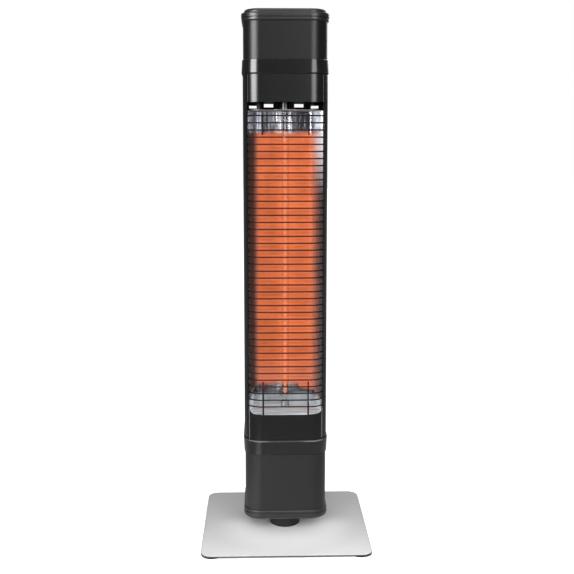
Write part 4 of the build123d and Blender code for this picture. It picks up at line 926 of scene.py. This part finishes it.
class HEATER_OT_housings(bpy.types.Operator):
    """Coat the housings and the front panels"""

    bl_idname = "heater.housings"
    bl_label = "Housings and Panels"

    def execute(self, context):
        finishes = context.scene.heater_finishes
        dress(powder_coat("upper_housing_coat", finishes.housing, 0.34, ior=1.38), "upper_housing")
        dress(powder_coat("lower_housing_coat", finishes.housing, 0.46), "lower_housing")
        dress(powder_coat("panel_coat", finishes.panel, 0.24), "rear_housing")
        # The front panels get a painted highlight on their side edges.
        hem = {"hem_at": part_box("front_panel_upper")[1].x, "hem_highlight_tone": finishes.hem}
        front_coat = powder_coat("front_panel_coat", finishes.panel, 0.24, **hem)
        dress(front_coat, "front_panel_lower", "front_panel_upper")
        return {"FINISHED"}


class HEATER_OT_seals(bpy.types.Operator):
    """Lay a thin black band where each collar meets the heating section, as painted shade in the shadow gap
    """

    bl_idname = "heater.seals"
    bl_label = "Collar Seals"

    def execute(self, context):
        proud, tuck, height, corner = 0.35 * MM, 0.6 * MM, 2.0 * MM, 31.0 * MM
        soft = proud * 0.6
        # From the foot up: how far the seal stands out of the housing, and the share of its height.
        section = ((-tuck, 0.0), (soft, 0.0), (proud, 0.3), (proud, 0.7), (soft, 1.0), (-tuck, 1.0))
        low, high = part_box("rear_housing")
        seals = Shape()
        for foot in (low.z, high.z - height):
            rings = []
            for offset, share in section:
                outline = rounded_square(high.x + offset, corner + offset)
                rings.append([Vector((x, y, foot + height * share)) for x, y in outline])
            seals.loft(rings + rings[:1])
        # Near-black rubber as painted shade in the shadow gaps.
        finish = rubber("shadow_seal_rubber", context.scene.heater_finishes.seals)
        seals.piece("collar_shadow_seals", finish, "tower", "black_rubber")
        return {"FINISHED"}


def wire_levels(count):
    """The level of the lowest wire and the pitch, told from the window that the grille closes."""
    low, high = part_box("grille")
    rods_below, rods_above = 16.0 * MM, 3.2 * MM
    first_in_window, last_in_window = 14.0 * MM, 23.0 * MM
    first = low.z + rods_below + first_in_window
    last = high.z - rods_above - last_in_window
    return first, (last - first) / (count - 1)


class HEATER_OT_grille(bpy.types.Operator):
    """Weld the grille from bent wires and upright rods"""

    bl_idname = "heater.grille"
    bl_label = "Grille"

    def execute(self, context):
        sizes = context.scene.heater_grille
        low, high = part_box("grille")
        wire, rod = sizes.wire_radius_mm * MM, sizes.rod_radius_mm * MM
        bend, angle = sizes.bend_radius_mm * MM, sizes.bend_angle
        face = low.y + wire
        centre = Vector((high.x - wire - bend * math.sin(min(angle, math.pi / 2)), face + bend))
        first, pitch = wire_levels(sizes.wire_count)
        levels = [first + index * pitch for index in range(sizes.wire_count)]
        grille = Shape()
        for level in levels:
            grille.tube(self.bent_wire(centre, bend, angle, level), wire)
        melt, inset = 0.5 * MM, math.radians(2)
        behind = wire + rod - melt
        outward = Vector((math.sin(angle - inset), -math.cos(angle - inset)))
        edge = centre + outward * (bend - behind)
        edge_weld = edge + outward * (rod * 0.8)
        gap, overrun = 4.0 * MM, 3.0 * MM
        lower_rod = (low.z, first + sizes.lower_wires * pitch - gap)
        upper_rod = (levels[-1] - sizes.upper_wires * pitch + gap, levels[-1] + overrun)
        short_x, short_y = sizes.short_rod_mm * MM, face + behind
        for side in (-1, 1):
            rods = [(edge.x, edge.y, low.z, high.z)]
            rods += [(short_x, short_y, start, end) for start, end in (lower_rod, upper_rod)]
            for x, y, start, end in rods:
                grille.tube([Vector((side * x, y, start)), Vector((side * x, y, end))], rod, 12)
            for level in levels:
                bead = (1.3 * MM, 1.3 * MM, 1.9 * MM)
                grille.nugget(Vector((side * edge_weld.x, edge_weld.y, level)), bead)
            for level in levels[: sizes.lower_wires] + levels[-sizes.upper_wires :]:
                bead = (1.9 * MM, 0.9 * MM, 1.7 * MM)
                grille.nugget(Vector((side * short_x, face + wire, level)), bead)
        finish = wire_coat("wire_enamel", context.scene.heater_finishes.wire, context.scene.heater_lamp)
        grille.piece("grille_weldment", finish, "tower", "black_steel", "grille")
        return {"FINISHED"}

    @staticmethod
    def bent_wire(centre, bend, angle, level, steps=12):
        """Path of a wire that runs across the front and turns back round both corners."""
        right = []
        for step in range(steps + 1):
            turn = angle * step / steps
            spot = (centre.x + bend * math.sin(turn), centre.y - bend * math.cos(turn), level)
            right.append(Vector(spot))
        left = [Vector((-point.x, point.y, level)) for point in right[::-1]]
        front = [Vector((centre.x * share, centre.y - bend, level)) for share in (-0.5, 0.0, 0.5)]
        return left + front + right


class HEATER_OT_reflector(bpy.types.Operator):
    """Form the reflector with its beaten relief, and finish its floor and ceiling"""

    bl_idname = "heater.reflector"
    bl_label = "Reflector"

    def execute(self, context):
        scene = context.scene
        finishes = scene.heater_finishes
        floor = satin_aluminium("lit_floor_sheet", finishes.floor_sheet, finishes.floor_sheen)
        dress(floor, "reflector_floor")
        dress(satin_aluminium("ceiling_sheet", finishes.ceiling_sheet, BLACK), "reflector_ceiling")
        echo = self.wire_echo(scene.heater_grille.wire_count)
        lit = lit_aluminium("lit_aluminium", finishes.reflector, scene.heater_lamp, *echo)
        plain = plated_metal("rolled_aluminium", finishes.reflector_rear, 0.35)
        low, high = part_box("reflector")
        sheet, beat, slit = 1.0 * MM, 0.28 * MM, 0.02 * MM
        middle = sheet * 0.6
        profile = self.profile(low, high, sheet)
        rows, rear_rows = 216, 18
        face = self.layer(profile, (low.z, high.z), rows, (0.0, middle), beat)
        face.piece("formed_reflector", lit, "tower", "polished_aluminium", "reflector")
        rear = self.layer(profile, (low.z, high.z), rear_rows, (middle + slit, sheet), 0.0)
        rear.piece("reflector_rear", plain, "tower", "polished_aluminium")
        return {"FINISHED"}

    @staticmethod
    def layer(profile, ends, rows, depths, beat):
        """One layer of the sheet between two depths, its near side beaten by a relief."""
        near, far = depths
        rings = []
        for row in range(rows + 1):
            level = ends[0] + (ends[1] - ends[0]) * row / rows
            inside, outside = [], []
            for (x, y), (nx, ny) in profile:
                spot = Vector((x, y, level))
                relief = (noise.noise(spot * 70.0) + noise.noise(spot * 160.0) * 0.36) * beat - near
                inside.append(Vector((x + nx * relief, y + ny * relief, level)))
                outside.append(Vector((x - nx * far, y - ny * far, level)))
            rings.append(inside + outside[::-1])
        count = len(profile)
        shape = Shape()
        shape.loft(rings)
        for ring, way in ((rings[0], -1), (rings[-1], 1)):
            strip = [[ring[index], ring[2 * count - 1 - index]] for index in range(count)]
            shape.loft(strip[::way], closed_ring=False)
        return shape

    @staticmethod
    def wire_echo(count):
        """The level and the pitch of the sheet's painted reflections of the gaps between the wires."""
        first, pitch = wire_levels(count)
        # The sheet lies behind the wires, so its painted reflections draw apart from the camera's height.
        still_level, spread = 720 * MM, 1.0575
        return still_level - (still_level - first - pitch / 2) * spread, pitch * spread

    @staticmethod
    def profile(low, high, sheet):
        """Inner points of the folded sheet and their normals, from the left flange to the right."""
        side_front, side_back = 62.5 * MM, 53.0 * MM
        bend, fold, spacing = 12.0 * MM, 1.6 * MM, 2.6 * MM
        half = ((high.x, low.y, 0.0), (side_front, low.y, fold), (side_back, high.y - sheet, bend))
        corners = [(Vector((-x, y)), radius) for x, y, radius in half]
        corners += [(Vector((x, y)), radius) for x, y, radius in half[::-1]]
        line = rounded_line(corners, 8)
        dense = [line[0]]
        for point in line[1:]:
            start = dense[-1]
            pieces = max(1, round((point - start).length / spacing))
            dense.extend(start.lerp(point, (index + 1) / pieces) for index in range(pieces))
        result = []
        for index, point in enumerate(dense):
            run = dense[min(index + 1, len(dense) - 1)] - dense[max(index - 1, 0)]
            normal = Vector((run.y, -run.x)).normalized()
            result.append((tuple(point), tuple(normal)))
        return result


def rounded_line(corners, steps):
    """Points of an open line through (place, radius) corners, rounded at all but its two ends."""
    line = [corners[0][0]]
    for (before, _), (spot, radius), (after, _) in zip(corners, corners[1:], corners[2:]):
        arrive, leave = (before - spot).normalized(), (after - spot).normalized()
        half = arrive.angle(leave) / 2
        reach = radius / math.tan(half)
        centre = spot + (arrive + leave).normalized() * radius / math.sin(half)
        start, end = spot + arrive * reach - centre, spot + leave * reach - centre
        spin = -start.angle_signed(end)
        line.extend(centre + Matrix.Rotation(spin * step / steps, 2) @ start for step in range(steps + 1))
    line.append(corners[-1][0])
    return line


class HEATER_OT_lamp(bpy.types.Operator):
    """Twist the glowing strand and finish the tube, its sleeves and brackets"""

    bl_idname = "heater.lamp"
    bl_label = "Lamp"

    def execute(self, context):
        lamp, finishes = context.scene.heater_lamp, context.scene.heater_finishes
        dress(quartz_glass("fused_quartz"), "quartz_tube")
        # The upper sleeve carries painted shade above 700 mm.
        dress(plated_metal("sleeve_steel", finishes.sleeve, 0.28, painted_shade_at=700 * MM), "lamp_end_caps")
        dress(plated_metal("bracket_zinc", finishes.zinc, 0.32), "lamp_brackets")
        low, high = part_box("carbon_filament")
        middle = (low + high) / 2
        bottom, top = lamp.glow_bottom_mm * MM, lamp.glow_top_mm * MM
        filament = Shape()
        for phase in (0.0, math.pi):
            path = self.twist(middle, bottom, top, phase, lamp)
            filament.tube(path, lamp.strand_radius_mm * MM, 8)
        hot = hot_carbon("hot_carbon", lamp.strand)
        filament.piece("carbon_strand", hot, "tower", "carbon", "carbon_filament")
        ferrules, leads = Shape(), Shape()
        radius, length, mouth, bevel, lead = 4.0 * MM, 8.0 * MM, 1.2 * MM, 1.0 * MM, 1.0 * MM
        axis = Matrix.Translation((middle.x, middle.y, 0.0))
        for near, way, tip in ((bottom, 1, low.z), (top, -1, high.z)):
            far = near + way * length
            profile = [(radius * 0.55, near - way * mouth), (radius, near)]
            profile += [(radius, far - way * bevel), (radius * 0.8, far)]
            ferrules.lathe(profile[::way], axis, 24)
            leads.tube([axis @ Vector((0.0, 0.0, tip)), axis @ Vector((0.0, 0.0, near))], lead)
        # The ferrules carry a painted glow.
        glowing_nickel = plated_metal("ferrule_nickel", finishes.ferrule, 0.5, painted_glow=lamp.ferrule_painted_glow)
        ferrules.piece("strand_ferrules", glowing_nickel, "tower", "carbon")
        nickel = plated_metal("lead_nickel", finishes.lead, 0.35)
        leads.piece("strand_leads", nickel, "tower", "nickel_steel")
        return {"FINISHED"}

    @staticmethod
    def twist(middle, bottom, top, phase, lamp, steps_in_turn=20):
        """Path of one of the twisted strands."""
        pitch = lamp.twist_pitch_mm * MM
        orbit = (lamp.twist_radius_mm - lamp.strand_radius_mm) * MM
        steps = int((top - bottom) / pitch * steps_in_turn)
        path = []
        for step in range(steps + 1):
            rise = (top - bottom) * step / steps
            angle = phase + 2 * math.pi * rise / pitch
            spoke = Vector((orbit * math.cos(angle), orbit * math.sin(angle)))
            path.append(Vector((middle.x + spoke.x, middle.y + spoke.y, bottom + rise)))
        return path


def in_metres(path):
    """A stroke whose points are in millimetres."""
    return [(x * MM, y * MM) for x, y in path]


class HEATER_OT_controls(bpy.types.Operator):
    """Finish the control fascia, its buttons and their printed marks"""

    bl_idname = "heater.controls"
    bl_label = "Controls"

    def execute(self, context):
        finishes = context.scene.heater_finishes
        names = ("power", "heat_down", "heat_up", "timer", "sound")
        dress(gloss_plastic("fascia_gloss", finishes.fascia), "control_fascia")
        caps = moulded_plastic("button_satin", finishes.buttons, 0.36)
        dress(caps, *[f"button_{name}" for name in names])
        dress(lit_lens("indicator_lens_red", finishes.indicator), "indicator_lens")
        ink = print_ink("mark_ink", finishes.button_ink)
        stroke, film, sink = 0.5 * MM, 0.06 * MM, 0.01 * MM
        for name in names:
            low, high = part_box(f"button_{name}")
            centre = Vector(((low.x + high.x) / 2, (low.y + high.y) / 2, high.z - sink))
            mark = Shape()
            for path, closed in self.strokes(name):
                mark.ribbon(in_metres(path), stroke, film, Matrix.Translation(centre), closed)
            mark.piece(f"mark_{name}", ink, f"button_{name}", "button_plastic")
        return {"FINISHED"}

    @staticmethod
    def strokes(name):
        """Plain symbols, as (points in millimetres, closed) strokes."""
        if name == "power":
            return [(arc((0, 0), 2.1, 125, 415, 28), False), ([(0, 0.6), (0, 2.7)], False)]
        if name == "heat_down":
            return [([(-2.0, 0), (2.0, 0)], False)]
        if name == "heat_up":
            return [([(-2.0, 0), (2.0, 0)], False), ([(0, -2.0), (0, 2.0)], False)]
        if name == "timer":
            return [(arc((0, 0), 2.2, 0, 360, 36)[:-1], True), ([(0, 1.5), (0, 0), (1.1, -0.6)], False)]
        horn = [(-2.3, -0.8), (-1.3, -0.8), (0.1, -2.0), (0.1, 2.0), (-1.3, 0.8), (-2.3, 0.8)]
        sound = [arc((0.1, 0), 1.3, -45, 45, 10), arc((0.1, 0), 2.5, -45, 45, 14)]
        return [(horn, True)] + [(path, False) for path in sound]


class HEATER_OT_power_entry(bpy.types.Operator):
    """Finish the mains switch, its rocker marks and the cord gland"""

    bl_idname = "heater.power_entry"
    bl_label = "Switch and Gland"

    def execute(self, context):
        finishes = context.scene.heater_finishes
        black = moulded_plastic("switch_plastic", finishes.switch, 0.42)
        dress(black, "switch_body", "cable_gland", "gland_nut")
        dress(gloss_plastic("rocker_gloss", finishes.rocker, 0.2), "power_rocker")
        joint = next(joint for joint in frame["joints"] if joint["name"] == "power_rocker_tilt")
        pivot, tilt = Vector(joint["pos_m"]), math.radians(joint["range_deg"][1] / 2)
        outward = Vector((0.0, math.cos(tilt), -math.sin(tilt)))
        up = Vector((0.0, math.sin(tilt), math.cos(tilt)))
        # The rocker's face dips to its middle: its height there, and the slope of each half.
        face, slope = 3.2 * MM, math.atan(0.15)
        aside, film, sink = 4.3 * MM, 0.05 * MM, 0.01 * MM
        strokes = {
            1: (in_metres([(0.0, -1.3), (0.0, 1.3)]), 0.45 * MM, False),
            -1: (in_metres(arc((0, 0), 1.25, 0, 360, 28)[:-1]), 0.4 * MM, True),
        }
        marks = Shape()
        for way in (-1, 1):
            along = up * math.cos(slope) + outward * math.sin(slope) * way
            normal = outward * math.cos(slope) - up * math.sin(slope) * way
            centre = pivot + up * (way * aside) + outward * (face + math.tan(slope) * aside - sink)
            facing = Matrix((along.cross(normal), along, normal)).transposed().to_4x4()
            path, width, closed = strokes[way]
            marks.ribbon(path, width, film, Matrix.Translation(centre) @ facing, closed)
        ink = print_ink("rocker_ink", finishes.rocker_ink)
        marks.piece("rocker_marks", ink, "power_rocker", "gloss_black_plastic")
        return {"FINISHED"}


class HEATER_OT_rear_screws(bpy.types.Operator):
    """Turn the cross-recessed screws on the rear"""

    bl_idname = "heater.rear_screws"
    bl_label = "Rear Screws"

    def execute(self, context):
        black = plated_metal("blackened_screw", context.scene.heater_finishes.blackened, 0.36)
        outward = Matrix.Rotation(math.radians(-90), 4, "X")
        head, shank, tip, taper = 1.8 * MM, 1.5 * MM, 0.9 * MM, 0.6 * MM
        for node, name in (("rear_screws", "pan_screws"), ("speaker_screws", "speaker_pan_screws")):
            screws = Shape()
            for low, high in self.boxes(node):
                seat = Vector(((low.x + high.x) / 2, high.y - head, (low.z + high.z) / 2))
                place = Matrix.Translation(seat) @ outward
                # Each cross stands at an angle of its own, told from the screw's place.
                turn = Matrix.Rotation(seat.z * 97.0 + seat.x * 31.0, 4, "Z")
                screws.pan_head(place @ turn, (high.x - low.x) / 2, head)
                end = low.y - seat.y
                screws.lathe([(shank, 0.0), (shank, end + taper), (tip, end)], place, 16)
            screws.piece(name, black, "tower", "black_steel", node)
        return {"FINISHED"}

    @staticmethod
    def boxes(node):
        """The lowest and highest corner of each screw in a node, told apart by their distance."""
        widest = 8.0 * MM
        screws = {}
        for vertex in frame["nodes"][node].data.vertices:
            spot = (vertex.co.x, vertex.co.z)
            key = next((other for other in screws if math.dist(spot, other) < widest), spot)
            screws.setdefault(key, []).append(vertex.co)
        return [
            [Vector([pick(point[axis] for point in points) for axis in range(3)]) for pick in (min, max)]
            for points in screws.values()
        ]


class HEATER_OT_electrics(bpy.types.Operator):
    """Finish the chassis, the boards and what is on them"""

    bl_idname = "heater.electrics"
    bl_label = "Electrics"

    def execute(self, context):
        finishes = context.scene.heater_finishes
        zinc = plated_metal("chassis_zinc", finishes.zinc, 0.34)
        dress(zinc, "chassis_bracket", "chassis_screws", "board_screws")
        dress(chalky("terminal_nylon", finishes.nylon, 0.5), "terminal_block")
        component = moulded_plastic("component_plastic", finishes.component, 0.5)
        dress(component, "tilt_switch", "thermal_cutout", "relays", "tact_switches")
        dress(lacquered_board("board_lacquer", finishes.board), "control_board", "power_board")
        fins = plated_metal("fin_aluminium", finishes.fins, 0.36, lay=(40.0, 900.0, 900.0))
        dress(fins, "heat_sink")
        dress(plated_metal("deck_sheet", finishes.blackened, 0.45), "compartment_deck")
        return {"FINISHED"}


class HEATER_OT_loudspeaker(bpy.types.Operator):
    """Finish the loudspeaker behind the rear of the upper housing"""

    bl_idname = "heater.loudspeaker"
    bl_label = "Loudspeaker"

    def execute(self, context):
        finishes = context.scene.heater_finishes
        dress(moulded_plastic("basket_black", finishes.basket, 0.5), "speaker_frame")
        dress(chalky("ferrite_grey", finishes.magnet, 0.6), "speaker_magnet")
        dress(chalky("pulp_cone", finishes.cone, 0.85), "speaker_cone")
        return {"FINISHED"}


class HEATER_OT_studio(bpy.types.Operator):
    """Set the floor, the world, the lamps and the camera"""

    bl_idname = "heater.studio"
    bl_label = "Studio"

    def execute(self, context):
        scene, studio = context.scene, context.scene.heater_studio
        scene.view_settings.view_transform = "Standard"
        self.world(scene)
        self.floor(scene)
        upper_part, middle, plate_front = (0.0, 0.0, 0.8), (0.0, 0.0, 0.55), (0.0, -0.14, 0.0)
        # Name, place, target, width and height in metres, and power.
        boxes = (
            ("left_softbox", (-1.1, -1.14, 1.12), upper_part, (0.95, 0.85), studio.left_box_watts),
            ("right_softbox", (0.66, -1.46, 1.12), upper_part, (0.72, 0.85), studio.right_box_watts),
            ("top_softbox", (0.0, -0.75, 2.1), upper_part, (1.6, 1.1), studio.top_box_watts),
            ("rear_softbox", (0.9, 1.6, 1.5), middle, (0.6, 1.2), studio.rear_box_watts),
        )
        for box in boxes:
            self.softbox(*box).visible_diffuse = False
        fill = ("low_fill", (0.0, -0.5, 0.3), plate_front, (0.5, 0.15), studio.low_fill_watts)
        self.softbox(*fill).visible_glossy = False
        self.camera(scene, studio)
        return {"FINISHED"}

    @staticmethod
    def world(scene):
        """A pale world that lights softly, and that the camera sees as white."""
        scene.world = bpy.data.worlds.new("pale_world")
        scene.world.use_nodes = True
        graph = Graph(scene.world.node_tree)
        height = graph.split(graph.node("ShaderNodeTexCoord", output="Generated"))[2].at_least(0.0)
        seen = graph.seen_by("Camera")
        mirrored = graph.seen_by("Glossy", "Transmission")
        lighting = mirrored * (0.12 + height * 0.45) + (1 - mirrored) * 0.8
        graph.send("Background", Color=(1.0, 1.0, 1.0, 1.0), Strength=seen + (1 - seen) * lighting)

    @staticmethod
    def floor(scene):
        """A pale floor that the camera sees as white but for the shadow under the plate."""
        mesh = bpy.data.meshes.new("studio_floor")
        reach, level = 12.0, -0.3 * MM
        corners = [(reach * x, reach * y, level) for x, y in ((-1, -1), (1, -1), (1, 1), (-1, 1))]
        mesh.from_pydata(corners, [], [(0, 1, 2, 3)])
        floor = bpy.data.objects.new("studio_floor", mesh)
        scene.collection.objects.link(floor)
        finish = Finish("pale_floor")
        finish.surface(
            Base_Color=(0.8, 0.8, 0.8, 1.0),
            Roughness=0.8,
            Specular_IOR_Level=0.1,
            Emission_Color=finish.blend(finish.seen_by("Camera"), BLACK, grey(0.62)),
            Emission_Strength=1.0,
        )
        # What gloss and metal see: pale near the plate, palest to its left, and darker farther off.
        x, y, _ = finish.axes()
        near = finish.fall(finish.from_origin(), 0.45, 0.68)
        patch = finish.band(-x, (0.06, 0.15), (0.22, 0.34)) * finish.fall(y, -0.12, 0.0) * near
        mirrored = finish.blend(patch, finish.blend(near, grey(0.24), grey(0.62)), grey(2.0))
        plain = Signal(finish.tree, finish.tree.nodes["Principled BSDF"].outputs[0])
        bright = finish.node("ShaderNodeEmission", None, {"Color": mirrored})
        mixed = finish.node("ShaderNodeMixShader", None, {0: finish.seen_by("Glossy"), 1: plain, 2: bright})
        finish.send("Material Output", Surface=mixed)
        mesh.materials.append(finish.material)

    @staticmethod
    def softbox(name, spot, target, size, watts):
        """A rectangular lamp that faces a target."""
        lamp = bpy.data.lights.new(name, "AREA")
        lamp.shape = "RECTANGLE"
        lamp.size, lamp.size_y = size
        lamp.energy = watts
        placed = bpy.data.objects.new(name, lamp)
        placed.location = spot
        placed.rotation_euler = (Vector(target) - Vector(spot)).to_track_quat("-Z", "Y").to_euler()
        bpy.context.scene.collection.objects.link(placed)
        placed.visible_camera = False
        return placed

    @staticmethod
    def camera(scene, studio):
        """The camera at the photograph's viewing angle."""
        lens = bpy.data.cameras.new("front_camera")
        lens.lens = studio.lens_mm
        lens.sensor_width = 36.0
        lens.shift_y = studio.shift
        lens.clip_start, lens.clip_end = 0.05, 60.0
        camera = bpy.data.objects.new("front_camera", lens)
        camera.location = Vector(studio.camera_mm) * MM
        camera.rotation_euler = (math.pi / 2 - studio.pitch, 0.0, -studio.yaw)
        scene.collection.objects.link(camera)
        scene.camera = camera


STEPS = (
    HEATER_OT_floor_plate,
    HEATER_OT_swivel,
    HEATER_OT_mouldings,
    HEATER_OT_housings,
    HEATER_OT_seals,
    HEATER_OT_grille,
    HEATER_OT_reflector,
    HEATER_OT_lamp,
    HEATER_OT_controls,
    HEATER_OT_power_entry,
    HEATER_OT_rear_screws,
    HEATER_OT_electrics,
    HEATER_OT_loudspeaker,
    HEATER_OT_studio,
)


class HEATER_PT_sidebar(bpy.types.Panel):
    """The heater's steps in the 3D view's sidebar"""

    bl_idname = "HEATER_PT_sidebar"
    bl_label = "Infrared Heater"
    bl_space_type = "VIEW_3D"
    bl_region_type = "UI"
    bl_category = "Heater"

    def draw(self, context):
        for step in STEPS:
            self.layout.operator(step.bl_idname)


GROUPS = {
    "heater_finishes": HeaterFinishes,
    "heater_lamp": HeaterLamp,
    "heater_grille": HeaterGrille,
    "heater_studio": HeaterStudio,
}


def register():
    """Register every class and hang the settings on the scene."""
    for group in GROUPS.values():
        bpy.utils.register_class(group)
    for step in STEPS:
        bpy.utils.register_class(step)
    bpy.utils.register_class(HEATER_PT_sidebar)
    for name, group in GROUPS.items():
        setattr(bpy.types.Scene, name, PointerProperty(type=group))


def unregister():
    """Undo register."""
    for name in GROUPS:
        delattr(bpy.types.Scene, name)
    bpy.utils.unregister_class(HEATER_PT_sidebar)
    for step in reversed(STEPS):
        bpy.utils.unregister_class(step)
    for group in reversed(list(GROUPS.values())):
        bpy.utils.unregister_class(group)


def main():
    """Register and build every piece in order."""
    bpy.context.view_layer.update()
    register()
    for step in STEPS:
        family, action = step.bl_idname.split(".")
        getattr(getattr(bpy.ops, family), action)()
    bpy.context.view_layer.update()


if __name__ == "__main__":
    main()
